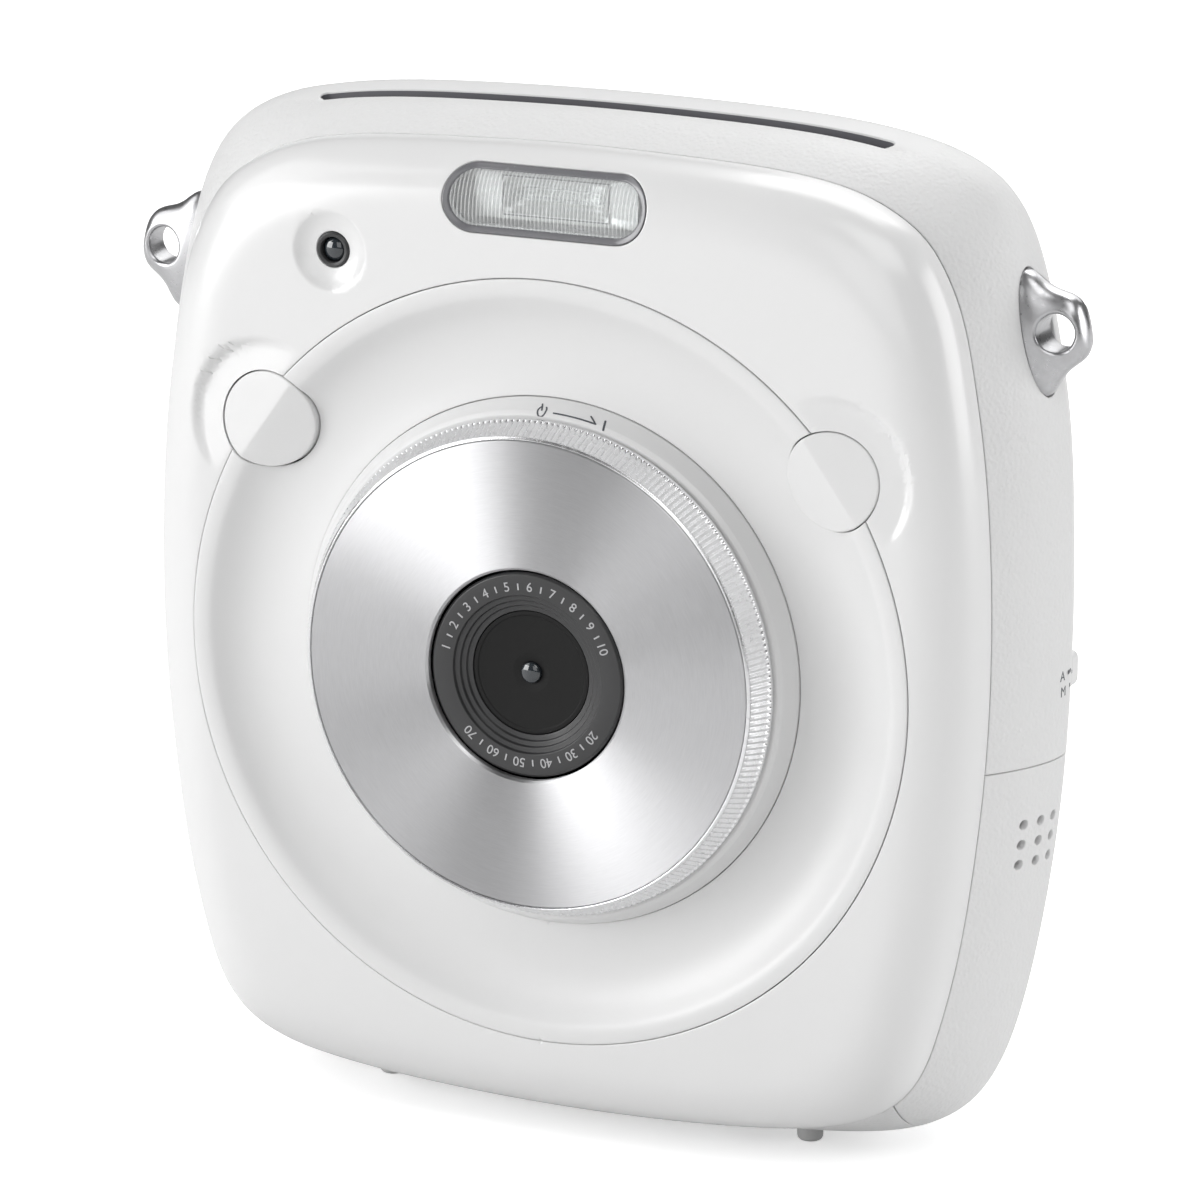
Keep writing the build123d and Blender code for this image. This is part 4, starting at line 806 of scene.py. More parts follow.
def dish_outline(radius, outer):
    """Dish circle about the lens with the button holes added (outer) or cut out."""
    hole = BUTTON_HOLE_R
    half = math.acos((BUTTON_REACH**2 + radius * radius - hole * hole)
                     / (2 * BUTTON_REACH * radius))

    def dish_arc(start, end):
        sweep = np.arange(start, end, 0.5 / radius)
        return np.c_[radius * np.cos(sweep), radius * np.sin(sweep)]

    parts, angle = [], -math.pi / 2
    for middle in (BUTTON_ANGLE, math.pi - BUTTON_ANGLE):
        parts.append(dish_arc(angle, middle - half))
        x, z = BUTTON_REACH * math.cos(middle), BUTTON_REACH * math.sin(middle)
        angle = middle + half
        start, end = (math.atan2(radius * math.sin(a) - z, radius * math.cos(a) - x)
                      for a in (middle - half, angle))
        while outer and end < start:
            end += 2 * math.pi
        while not outer and end > start:
            end -= 2 * math.pi
        arc = np.linspace(start, end, 48, endpoint=False)
        parts.append(np.c_[x + hole * np.cos(arc), z + hole * np.sin(arc)])
    parts.append(dish_arc(angle, 2 * math.pi - math.pi / 2))
    return np.vstack(parts)


def scoop(points, _):
    """Soft circular scoops beside the buttons and round the lamp."""
    points = points.copy()
    for side in (1, -1):
        outward = button_outward(points[:, 0], points[:, 2], side)
        radius = np.hypot(points[:, 0] - side * BUTTON_X, points[:, 2] - BUTTON_Z)
        floor_y = BUTTON_RIDGE_Y + RIDGE_OUT_SLOPE * outward + 0.02
        sink = np.maximum(floor_y - points[:, 1], 0)
        t = np.clip((radius - 9.1) / 1.3, 0, 1)
        points[:, 1] += sink * (1 - t * t * (3 - 2 * t))
    radius = np.hypot(points[:, 0] - LAMP_X, points[:, 2] - LAMP_Z)
    t = np.clip((radius - 2.0) / 2.85, 0, 1)
    rim = np.clip((radius - 4.35) / 0.5, 0, 1)
    points[:, 1] += (1 - t**2.1) * (1 - 0.5 * rim * rim)
    return points


def ring_points(x, z, radii, spacing):
    return np.vstack([circle(x, z, r, max(12, int(2 * math.pi * r / spacing))) for r in radii])


def strip_loop(q_edge, q_weld, opening, step, margin):
    """Full turn of a shell from its edge row to an opening; it welds at the bottom."""
    row = np.arange(-HALF, HALF, step)
    return np.vstack([
        np.c_[row, np.full(len(row), q_edge)], [[HALF, q_edge]], [[HALF, q_weld]],
        opening[np.abs(opening[:, 0]) < HALF - margin], [[-HALF, q_weld]]])


LAMP_RINGS = (2.7, 3.2, 3.7, 4.2, 4.6, 4.85, 5.1, 5.5)
BUTTON_RINGS = (7.0, 7.8, 8.6, 9.0, 9.3, 9.6, 9.9, 10.2, 10.5, 10.9)
COVER_ROWS = np.r_[0.8, 1.5, 2.1, 2.6, 3.1, 3.6, 4.1, 4.6, 5.1, 5.6, 6.2, 6.8, 7.4, 8.1, 8.8, 9.6,
                   10.5, np.arange(11.5, 40, 1.1)]
opening = resample(dish_outline(R_DISH + SEAM_GAP, outer=True), 0.5)
opening = COVER.uq_at(opening[:, 0], opening[:, 1] + LENS_Z)
opening = np.roll(opening, -int(np.argmin(opening[:, 0])) - 1, 0)
cover_holes = [resample(hole, 0.4) for hole in (
    stadium(0, FLASH_Z, FLASH_L + 0.16, FLASH_H + 0.16, 30), circle(LAMP_X, LAMP_Z, 2.2, 40))]
fine_points = np.vstack([ring_points(LAMP_X, LAMP_Z, LAMP_RINGS, 0.5)] + [
    ring_points(side * BUTTON_X, BUTTON_Z, BUTTON_RINGS, 0.7) for side in (1, -1)])
cover = panel(
    "front_cover_shell",
    [strip_loop(0.0, float(opening[0, 1]), opening, step=0.5, margin=0.05)]
    + [COVER.uq_at(*hole.T) for hole in cover_holes],
    COVER, depth=2.0, step=1.25, edge=0.13, reshape=scoop,
    extra=COVER.uq_at(*fine_points.T), seams=(-HALF, HALF), rows=COVER_ROWS)
piece(cover, GLOSS, "body", "gloss_white", "front_cover")

# ------------------------------------------------------------------ dish and collar
# Dish section: radius, y
DISH_R, DISH_Y = np.array([
    (30.0, -17.9), (32.43, -17.6), (34.5, -17.32), (36.5, -17.2), (38.5, -17.27), (40.3, -17.58),
    (41.8, -18.1), (43.0, -18.75), (43.9, -19.4), (44.35, -19.72), (44.65, -19.9), (45.0, -20.02),
    (45.5, -20.1), (46.2, -20.14), (47.4, -20.02)]).T
DISH_ROWS = np.r_[33.2, 34.3, 35.5, 36.7, 37.9, 38.9, 39.8, 40.6, 41.3, 42.0, 42.6, 43.1, 43.6,
                  44.0, 44.25, 44.45, 44.65, 44.9, 45.2, 45.6, 46.0]
DISH_UNROLL = 40.0              # radius at which the dish angle is unrolled
DISH_END = 40 * math.pi


def dish_surface(plan):
    """(angle from the top times DISH_UNROLL, radius) to mm."""
    angle, radius = plan[:, 0] / DISH_UNROLL + math.pi / 2, plan[:, 1]
    return np.c_[radius * np.cos(angle), pchip(DISH_R, DISH_Y, radius),
                 LENS_Z + radius * np.sin(angle)]


rim = resample(dish_outline(R_DISH, outer=False), 0.45)
turn = np.mod(np.arctan2(rim[:, 1], rim[:, 0]) + math.pi / 2, 2 * math.pi) - math.pi
rim = np.c_[turn * DISH_UNROLL, np.hypot(rim[:, 0], rim[:, 1])]
rim = rim[np.abs(rim[:, 0]) < DISH_END - 0.1]
dish_loop = np.vstack([
    [[-DISH_END, R_COLLAR + SEAM_GAP], [DISH_END, R_COLLAR + SEAM_GAP], [DISH_END, R_DISH]],
    rim[::-1], [[-DISH_END, R_DISH]]])
dish = panel("dish_shell", [dish_loop], dish_surface, depth=1.8, step=1.2, border_step=0.5,
             edge=0.1, inward=REARWARD, seams=(-DISH_END, DISH_END), rows=DISH_ROWS)
piece(dish, SATIN, "body", "satin_white", "dish_panel")

# Turned profiles: radius, y, corner radius
COLLAR = [(R_COLLAR, -17.9, 0.12), (31.25, -20.05, 0.5), (30.75, -20.45, 0.35),
          (30.05, -20.45, 0.15), (30.05, -14.3, 0), (33.9, -14.3, 0), (33.9, -15.4, 0),
          (R_COLLAR, -15.6, 0)]
POWER_RING = [(28.5, -24.35, 0.08), (28.62, -24.62, 0.12), (28.95, -24.4, 0.06),
              (28.95, -24.1, 0), (30.35, -21.3, 0), (30.4, -20.85, 0.12), (29.95, -20.7, 0.05),
              (29.9, -14.2, 0), (31.5, -14.1, 0), (31.5, -13.0, 0), (26.6, -13.0, 0),
              (26.6, -23.4, 0), (28.5, -23.4, 0)]
RING_FACE = [(12.85, -24.2, 0.05), (13.15, -24.5, 0.08), (28.35, -24.5, 0.06),
             (28.45, -24.4, 0.04), (28.45, -23.46, 0), (12.85, -23.46, 0)]
LENS_RING = [(12.5, -23.75, 0.1), (12.2, -24.0, 0.15), (9.7, -24.0, 0.1), (9.55, -23.62, 0.04),
             (9.0, -23.58, 0.08), (8.85, -23.25, 0.04), (8.35, -23.2, 0.08), (8.2, -22.9, 0.04),
             (7.62, -22.85, 0.06), (7.56, -22.0, 0), (12.5, -22.0, 0)]
LENS_DISC = [(1.32, -22.5, 0.05), (2.4, -22.62, 0.3), (6.9, -22.62, 0.02), (7.05, -22.72, 0.03),
             (7.5, -22.72, 0.06), (7.5, -22.0, 0), (8.3, -22.0, 0), (8.3, -21.2, 0),
             (1.32, -21.2, 0)]
LAMP_RIM = [(2.14, -14.8, 0), (2.14, -19.0, 0.08), (1.95, -19.25, 0.08), (1.6, -19.2, 0.08),
            (1.5, -18.9, 0.05), (1.5, -14.8, 0)]
# Knurled band of the power ring: radius, y, share of the tooth depth
KNURL_BAND = [(28.98, -24.06, 0.35), (29.03, -23.95, 1.0), (29.35, -23.3, 1.0),
              (29.75, -22.5, 1.0), (30.1, -21.8, 1.0), (30.3, -21.42, 1.0), (30.36, -21.3, 0.35)]


def domed(radius, bulge_y, bulge, base_y, steps):
    """Profile of a plug with a domed front."""
    dome = [(radius * math.sin(t), bulge_y - bulge * math.cos(t))
            for t in np.linspace(0, math.pi / 2, steps)]
    return [(0, base_y)] + dome + [(radius, base_y)]


def power_ring():
    """The band takes the place of the plain cone between the lip and the foot."""
    plain = rounded(POWER_RING, 3)
    radius, y = plain.T
    lip = (y < -24.08) & (radius > 28.3)
    cone = (y >= -24.1) & (y <= -21.29) & (radius > 28.9)
    plain = np.c_[plain, np.zeros(len(plain))]
    return np.vstack([plain[lip], KNURL_BAND, plain[~lip & ~cone]])


piece(lathe("collar_shell", rounded(COLLAR), 256), SATIN, "body", "satin_white", "lens_collar")
piece(knurled("knurled_ring", 252, power_ring(), depth=0.2), SILVER, "ring", "knurled_silver",
      "power_ring")
piece(lathe("brushed_face", rounded(RING_FACE, 3), 320), BRUSHED, "ring", "brushed_aluminium",
      "ring_face_plate")

# ------------------------------------------------------------------ lens front
piece(lathe("lens_ring", rounded(LENS_RING, 3), 192), BLACK, "body", "lens_black", "lens_bezel")
piece(lathe("lens_front_disc", rounded(LENS_DISC, 3), 160), FLAT, "body", "lens_black",
      "lens_disc")
piece(lathe("front_lens_nub", domed(1.28, -22.75, 0.5, -20.6, 12), 64), GLASS, "body",
      "lens_glass", "front_lens")

# ------------------------------------------------------------------ flash
FLASH_RIM = 0.75                                        # width of the frame
PANE_L, PANE_H = FLASH_L - 1.56, FLASH_H - 1.56
FLASH_OPENING = stadium(0, FLASH_Z, FLASH_L - 2 * FLASH_RIM, FLASH_H - 2 * FLASH_RIM, 30)


def cover_surface(plan):
    return np.c_[plan[:, 0], COVER.y_at(plan[:, 0], plan[:, 1]), plan[:, 1]]


def slope_inwards(points, plan):
    near = segment_distance(plan, *segments([FLASH_OPENING]))
    points = points.copy()
    points[:, 1] += 0.25 * np.clip(1 - near / 0.7, 0, 1)
    return points


frame = panel("flash_frame", [stadium(0, FLASH_Z, FLASH_L, FLASH_H, 30), FLASH_OPENING],
              cover_surface, depth=2.0, step=0.5, border_step=0.35, inward=REARWARD,
              reshape=slope_inwards)
piece(frame, TRIM, "body", "grey_trim", "flash_bezel")


def flash_pane():
    """Clear pane with fine upright ribs, its front set back behind the cover surface."""
    radius, straight = PANE_H / 2, (PANE_L - PANE_H) / 2
    ribs, per_rib, rows = int(PANE_L / 0.5), 4, 13
    xs = np.linspace(-PANE_L / 2 + 0.02, PANE_L / 2 - 0.02, ribs * per_rib + 1)
    cap = np.sqrt(np.maximum(radius * radius - (np.abs(xs) - straight) ** 2, 0.0004))
    half = np.where(np.abs(xs) <= straight, radius, cap)
    t = np.linspace(-1, 1, rows)
    x = np.repeat(xs, rows)
    z = (half[:, None] * t[None]).ravel() + FLASH_Z
    rib = 0.1 * np.abs(np.sin(math.pi * (np.arange(len(xs)) / per_rib)))
    fade = np.clip((1 - np.abs(t)) * 12, 0, 1)
    y = COVER.y_at(x, z)
    front = np.c_[x, y + 0.42 - (rib[:, None] * fade[None]).ravel(), z]
    n = len(front)
    faces = []
    for a, b, c, d in grid_quads(len(xs), rows):
        faces += [(a, b, c, d), (a + n, d + n, c + n, b + n)]
    rim = grid_rim(len(xs), rows)
    faces += [(b, a, a + n, b + n) for a, b in zip(rim, rim[1:] + rim[:1])]
    return solid("flash_pane", np.vstack([front, np.c_[x, y + 1.3, z]]), faces, sharp=50)


def flash_trough():
    """Front plate with a bowl whose floor carries fine horizontal steps."""
    front_y, back_y = -16.1, -12.2
    plate_w, plate_h, bowl_w, bowl_h = 21.0, 5.7, 13.3, 4.3
    columns, rows = 47, 41

    def depth(x, z):
        end = abs(x) / (bowl_w / 2)
        bowl = 2.6 * (1 - (abs(z) / (bowl_h / 2)) ** 2) * (1 - end**6)
        return max(bowl + 0.1 * math.sin(z * 2 * math.pi / 0.52) * (1 - end**10), 0)

    points = [(x, front_y + depth(x, z), z + FLASH_Z)
              for x in np.linspace(-bowl_w / 2, bowl_w / 2, columns)
              for z in np.linspace(-bowl_h / 2, bowl_h / 2, rows)]
    faces = grid_quads(columns, rows)
    inner = grid_rim(columns, rows)
    n, start = len(inner), len(points)
    plate = [(points[i][0] / (bowl_w / 2) * plate_w / 2,
              (points[i][2] - FLASH_Z) / (bowl_h / 2) * plate_h / 2 + FLASH_Z) for i in inner]
    points += [(x, y, z) for y in (front_y, back_y) for x, z in plate]
    outer, back = range(start, start + n), range(start + n, start + 2 * n)
    for i in range(n):
        j = (i + 1) % n
        faces += [(inner[i], inner[j], outer[j], outer[i]), (outer[i], outer[j], back[j], back[i])]
    faces.append(tuple(back))
    return solid("flash_trough", points, faces, sharp=40)


def trough_edge():
    """Thin folded edge round the trough opening."""
    half_w, half_h, fold = 13.5 / 2, 4.5 / 2, 0.16
    rims = [(sx * (half_w + out), sz * (half_h + out)) for out in (fold, 0)
            for sx, sz in ((-1, -1), (1, -1), (1, 1), (-1, 1))]
    points = [(x, y, z + FLASH_Z) for y in (-16.26, -16.12) for x, z in rims]
    faces = []
    for k in range(4):
        j = (k + 1) % 4
        faces += [(k, j, j + 4, k + 4), (k + 8, k + 12, j + 12, j + 8), (k, k + 8, j + 8, j),
                  (k + 4, j + 4, j + 12, k + 12)]
    return solid("trough_edge", points, faces, sharp=40)


piece(flash_pane(), WINDOW, "body", "clear_window", "flash_window")
piece(flash_trough(), MIRROR, "body", "reflector", "flash_reflector")
piece(trough_edge(), TRIM, "body", "grey_trim")

# ------------------------------------------------------------------ lamp
LAMP = (LAMP_X, LAMP_Z)
piece(lathe("lamp_rim", rounded(LAMP_RIM), 72, LAMP), BLACK, "body", "lens_black", "lamp_ring")
piece(lathe("lamp_dome", domed(1.48, -18.35, 0.75, -15.6, 14), 64, LAMP), GLASS, "body",
      "lens_glass", "lamp_lens")


# ------------------------------------------------------------------ shutter buttons
def shutter_button(side, word):
    """Round cap with a ridge across it and two slopes falling away."""
    def surface(plan):
        outward = button_outward(plan[:, 0], plan[:, 1], side)
        soft = np.sqrt(outward * outward + 0.02) - 0.06
        slope = np.where(outward > 0, RIDGE_OUT_SLOPE, RIDGE_IN_SLOPE)
        return np.c_[plan[:, 0], BUTTON_RIDGE_Y + 0.08 + slope * soft, plan[:, 1]]

    centre = np.array([side * BUTTON_X, BUTTON_Z])
    out = np.array([side * BUTTON_COS, BUTTON_SIN])
    along = np.array([-side * BUTTON_SIN, BUTTON_COS])
    steps = np.arange(-5.4, 5.41, 0.45)[:, None]
    ridge = [centre + offset * out + steps * along for offset in (0.0, 0.15, -0.15, 0.4, -0.4)]
    places = np.arange(-6, 6.1, 0.8)
    grid = np.array([(x, z) for x in places for z in places]) + centre
    grid = grid[np.abs((grid - centre) @ out) > 0.7]
    cap = panel("shutter_cap_" + word, [circle(*centre, BUTTON_R - 0.02, 96)], surface, depth=5.0,
                border_step=0.4, edge=0.22, inward=REARWARD, extra=np.vstack(ridge + [grid]),
                rows=())
    piece(cap, SATIN, "button_" + word, "satin_white", "shutter_button_" + word)


shutter_button(1, "right")
shutter_button(-1, "left")

# ------------------------------------------------------------------ upper frame
# Joint lines from front to rear, on the +X side
JOINT_Y = np.linspace(Y_SEAM + SEAM_GAP, Y_REAR, 42)
SIDE_UPPER = find_uq(JOINT_Y, Z_SIDE, z_of, 40, 150)
SIDE_LOWER = find_uq(JOINT_Y, Z_SIDE - 0.11, z_of, 40, 150)
LOW_SIDE = find_uq(JOINT_Y, X_BOTTOM + 0.06, x_of, 110, HALF - 2)
LOW_BOTTOM = find_uq(JOINT_Y, X_BOTTOM - 0.06, x_of, 110, HALF - 2)


def quad_loop(first, second, step=0.5):
    """Loop between two joint lines, first at the lower u."""
    front = np.arange(first[0, 0], second[0, 0], step)
    rear = np.arange(second[-1, 0], first[-1, 0], -step)
    return np.vstack([np.c_[front, np.full(len(front), first[0, 1])], second,
                      np.c_[rear, np.full(len(rear), first[-1, 1])], first[::-1]])


def mirrored(line):
    return np.c_[-line[:, 0], line[:, 1]]


def on_side(outline):
    """Domain loop on the +X side of a (y, z) outline."""
    return find_uq(outline[:, 0], outline[:, 1], z_of, 40, 150)


def across_lug(points):
    return (points[:, 2] - LUG_Z) * LUG_COS - (points[:, 0] - LUG_X) * LUG_SIN


SLOT = resample(stadium(0, SLOT_Y, 2 * SLOT_HALF, SLOT_W, 10), 0.5)
SLOT = find_uq(SLOT[:, 1], SLOT[:, 0], x_of, -60, 60)
seat_angle = np.linspace(0, 2 * math.pi, 90, endpoint=False)
LUG_SEAT = find_uq(LUG_Y + 2.93 * np.cos(seat_angle), 7.73 * np.sin(seat_angle), across_lug,
                   20, 90)
SWITCH_NECK = on_side(resample(round_rect(MODE_Y, 59.5, 1.7, 7.2, 0.5, 4), 0.5))
RECESS_RIMS = [on_side(round_rect(MODE_Y, RECESS_Z, 4.4, 15.8, 1.6, 8)),
               on_side(round_rect(MODE_Y, RECESS_Z, 4.16, 15.56, 1.5, 8))]
RECESS_FLOOR, RECESS_X = round_rect(MODE_Y, RECESS_Z, 4.2, 15.6, 1.5, 8), 56.8
SLOT_SINK, FRONT_SINK = 0.5, 0.75       # how far the top sinks at and ahead of the slot
FRAME_ROWS = np.r_[np.arange(-11.3, -4.9, 0.95), -4.68, -4.5, -4.36, np.arange(-4.2, 1.7, 0.38),
                   np.arange(2.3, 8.5, 0.85)]


def slot_sink(points):
    x, y = np.abs(points[:, 0]), points[:, 1]
    sink = np.clip((1.35 - y) / 4.15, 0, 1) * SLOT_SINK
    sink = np.where(y < -4.35, FRONT_SINK * np.clip((y + 8.6) / 4.2, 0, 1) ** 1.5, sink)
    t = np.clip((x - (SLOT_HALF - 1.5)) / 6.0, 0, 1)
    return np.where((points[:, 2] > 112) & (y < 2.2), sink * (1 - t * t * (3 - 2 * t)), 0)


def shape_frame(points, _):
    """Sink the top round the slot and flatten the mode switch recess."""
    down = np.c_[points[:, 0] * 0.35, 0 * points[:, 0], points[:, 2] - LENS_Z]
    down /= np.linalg.norm(down, axis=1)[:, None]
    points = points - down * slot_sink(points)[:, None]
    near = (points[:, 0] > 50) & (np.abs(points[:, 2] - RECESS_Z) < 9) & (points[:, 1] > 2)
    near[near] = inside(points[near][:, 1:], [RECESS_FLOOR])
    points[near, 0] = np.minimum(points[near, 0], RECESS_X)
    return points


def frame_mask(points):
    """Grain fades round the slot and in the recess."""
    x, y, z = points.T
    mask = np.where((z > 110) & (y > -4.3) & (np.abs(x) < 41), 0.18, 1.0)
    recess = (z < 75) & (x > 0) & (y > 2.3) & (y < 7.2) & (np.abs(z - RECESS_Z) < 8)
    return np.where(recess, 0.2, mask)


upper = panel("frame_upper", [quad_loop(mirrored(SIDE_UPPER), SIDE_UPPER), SLOT, LUG_SEAT,
                              mirrored(LUG_SEAT), SWITCH_NECK],
              BODY, depth=1.9, step=1.15, edge=0.13, reshape=shape_frame,
              rows=BODY.q_of_y(FRAME_ROWS), creases=RECESS_RIMS, mask=frame_mask)
piece(upper, GRAIN, "body", "grained_white", "upper_frame")


def slot_shade_strip():
    """Dark strip standing just inside the walls of the print slot: painted shade for the shadowed
    throat of the slot.
    """
    wall = shape_frame(BODY(SLOT), SLOT)
    n = len(wall)
    points = []
    for gap, drop in ((0.05, 0.22), (0.12, 0.22), (0.05, 1.8), (0.12, 1.8)):
        row = wall.copy()
        row[:, 1] = SLOT_Y + (wall[:, 1] - SLOT_Y) * (1 - gap / (SLOT_W / 2))
        row[:, 0] = wall[:, 0] * (1 - gap / SLOT_HALF)
        row[:, 2] -= drop
        points.append(row)
    faces = [(a * n + k, a * n + (k + 1) % n, b * n + (k + 1) % n, b * n + k)
             for k in range(n) for a, b in ((0, 1), (1, 3), (3, 2), (2, 0))]
    return solid("slot_shade_strip", np.vstack(points), faces, sharp=40)


# Dark strip of painted shade inside the print slot
piece(slot_shade_strip(), GREY, "body", "inner_grey")

# ------------------------------------------------------------------ sides and bottom
speaker_holes = []
for y in (-6.6, -3.9, -1.2):
    for z in (44.0, 41.5, 39.0):
        hole = circle(y, z, 0.6, 20)
        speaker_holes.append(find_uq(hole[:, 0], hole[:, 1], z_of, 60, 180))
side_panel = panel("side_shell", [quad_loop(SIDE_LOWER, LOW_SIDE)] + speaker_holes, BODY,
                   depth=1.9, step=1.2, border_step=0.5, edge=0.13, mask=full_mask)
piece(side_panel, GRAIN, "body", "grained_white", "side_panel")


def thumb_dent(points, _):
    points = points.copy()
    t = np.clip(1 - np.hypot(points[:, 1] / 5.2, (points[:, 2] - 46.2) / 2.2), 0, 1)
    points[:, 0] += 1.5 * t * t * (3 - 2 * t)
    return points


lid = panel("battery_lid_shell", [quad_loop(mirrored(LOW_SIDE), mirrored(SIDE_LOWER))], BODY,
            depth=1.9, step=1.0, edge=0.13, reshape=thumb_dent, mask=full_mask)
piece(lid, GRAIN, "battery_lid", "grained_white", "battery_door")

# Centres (x, y) on the bottom
SCREWS = [(22, -5), (-22, -5), (22, 4), (-22, 4)]
FEET = [(28.5, -3.2), (-28.5, -3.2), (28.5, 6.0), (-28.5, 6.0)]
FOOT = [(0, -0.7, 0), (1.6, -0.7, 0.7), (1.6, 1.2, 0.1), (0, 1.2, 0)]   # radius, z, corner
base_holes = []
for centres, radius in ((SCREWS, 2.0), (FEET, 1.65), ([(0, 0)], 4.5)):
    for centre in centres:
        hole = circle(*centre, radius, 48)
        base_holes.append(find_uq(hole[:, 1], hole[:, 0], x_of, HALF - 55, HALF + 55))
far_joint = np.c_[LENGTH - LOW_BOTTOM[:, 0], LOW_BOTTOM[:, 1]]
base = panel("base_shell", [quad_loop(LOW_BOTTOM, far_joint)] + base_holes, BODY, depth=1.9,
             step=1.2, edge=0.13, mask=full_mask)
piece(base, GRAIN, "body", "grained_white", "bottom_cover")
for i, centre in enumerate(FEET):
    foot = lathe(f"foot_{i + 1}", rounded(FOOT), 48, centre, axis="Z")
    piece(foot, RUBBER, "body", "rubber_grey", *(["feet"] if i == 0 else []))

# ------------------------------------------------------------------ rear cover and hinge
REAR_ROWS = np.r_[0.9, 1.8, 2.7, 3.6, 4.5, 5.4, 6.3, 7.2, 8.1, 9.0, 9.9, 10.7, 11.4, 12.1, 12.8,
                  13.5, 14.3, 15.2, 16.2, 17.3, 18.5, 20, 21.5, 23]
rear_q = float(BODY.q_of_y(Y_REAR + SEAM_GAP))
opening = resample(round_rect(0, DOOR_MID, 2 * DOOR_X + 2 * DOOR_GAP, DOOR_H + 2 * DOOR_GAP,
                              DOOR_R + DOOR_GAP, 12), 0.5)
opening = BODY.uq_at(*opening.T)
opening = opening[np.argsort(-opening[:, 0])]
weld_q = float(np.interp(HALF - 0.2, *opening[::-1].T))
rear = panel("rear_shell", [strip_loop(rear_q, weld_q, opening, step=0.55, margin=0.1)], BODY,
             depth=2.0, step=1.25, edge=0.14, seams=(-HALF, HALF), mask=full_mask,
             rows=rear_q + REAR_ROWS)
piece(rear, GRAIN, "body", "grained_white", "rear_cover")
for i, z in enumerate(HINGE_Z):
    low, high = z - 2.98, z + 2.98
    ear_profile = [(1.0, low, 0.05), (2.08, low, 0.25), (2.08, high, 0.25), (1.0, high, 0.05)]
    ear = lathe(f"hinge_ear_{i + 1}", rounded(ear_profile), 48, (HINGE_X, HINGE_Y), axis="Z")
    piece(ear, SATIN, "body", "satin_white")
    web_outline = round_rect((HINGE_X - 46.0) / 2 - 0.6, z, 2.6, 5.9, 0.3, 4)
    web = panel(f"hinge_web_{i + 1}", [web_outline], flat_at(HINGE_Y + 0.85), depth=2.8, step=0.6,
                edge=0.2, inward=FORWARD)
    piece(web, SATIN, "body", "satin_white")

# ------------------------------------------------------------------ film door
KEY_X, KEY_PITCH = 31.5, 12.5
KEYS = {word: (x, z)
        for x, words in ((-KEY_X, ("print", "menu", "back")),
                         (KEY_X, ("exposure", "vignette", "filter")))
        for word, z in zip(words, (DIAL_Z + KEY_PITCH, DIAL_Z, DIAL_Z - KEY_PITCH))}
LATCH_X, LATCH_Z = 38.5, 64.0
NOTCH_X, NOTCH_HALF = -39.7, 3.15       # hinge notches in the -X side of the door


def door_outline():
    out, notched = [], set()
    for x, z in resample(round_rect(0, DOOR_MID, 2 * DOOR_X, DOOR_H, DOOR_R, 12), 0.5):
        hinge = next((h for h in HINGE_Z if x < -DOOR_X + 1e-6 and abs(z - h) < 3.16), None)
        if hinge is None:
            out.append((x, z))
        elif hinge not in notched:
            notched.add(hinge)
            upper, lower = hinge + NOTCH_HALF, hinge - NOTCH_HALF
            out += [(-DOOR_X, upper), (NOTCH_X, upper), (NOTCH_X, lower), (-DOOR_X, lower)]
    return np.array(out)


def door_surface(plan):
    """Back of the body, rolled over round the hinge axis."""
    y = BODY.y_at(plan[:, 0], plan[:, 1])
    past = plan[:, 0] - HINGE_X
    roll = HINGE_Y + np.sqrt(np.maximum(2.62**2 - np.minimum(past, 0) ** 2, 0))
    return np.c_[plan[:, 0], np.where(past < 0, np.minimum(y, roll), y), plan[:, 1]]


door_holes = [round_rect(0, LCD_Z, 68.2, 50.2, 1.6, 8), circle(0, DIAL_Z, 14.1, 120),
              round_rect(LATCH_X, 62.4, 3.0, 11.2, 0.5, 4)]
door_holes += [circle(x, z, 4.12, 56) for x, z in KEYS.values()]
door = panel("film_door_shell", [door_outline()] + door_holes, door_surface, depth=3.0, step=1.6,
             border_step=0.5, edge=0.18, inward=FORWARD)
piece(door, SATIN, "door", "satin_white", "film_door")

window = panel("display_window", [round_rect(0, LCD_Z, 67.95, 49.95, 1.5, 8)], flat_at(22.25),
               depth=1.9, step=3.0, border_step=0.8, edge=0.25, inward=FORWARD)
piece(window, SCREEN, "door", "display", "lcd_window")
lit_area = panel("display_area", [round_rect(0, LCD_Z, 58.6, 43.9, 0.4, 4)], flat_at(22.262),
                 depth=0.05, step=4, border_step=1.0, edge=0.0, inward=FORWARD)
LIT = plastic("display_area", (0.022, 0.026, 0.034), rough=0.07, coat=1.0, coat_rough=0.02,
              vary=0.004, fine=0.0)
piece(lit_area, LIT, "door", "display")

# ------------------------------------------------------------------ dial and keys
# Turned profiles: radius, y, corner radius
DIAL = [(7.65, 20.35, 0), (14.0, 20.35, 0.1), (14.0, 22.45, 0.25), (13.2, 22.8, 0.4),
        (9.2, 22.5, 0.6), (8.0, 22.62, 0.2), (7.65, 22.4, 0.1)]
CENTRE_BUTTON = [(0, 22.3, 0), (5.2, 22.42, 1.2), (6.8, 22.6, 0.4), (7.38, 22.35, 0.25),
                 (7.38, 21.1, 0.1), (3.4, 21.1, 0), (3.4, 17.0, 0), (0, 17.0, 0)]
KEY_CAP = [(0, 22.55, 0), (2.6, 22.6, 0.8), (3.6, 22.72, 0.3), (3.98, 22.45, 0.2),
           (3.98, 16.9, 0), (4.8, 16.9, 0), (4.8, 16.1, 0), (0, 16.1, 0)]
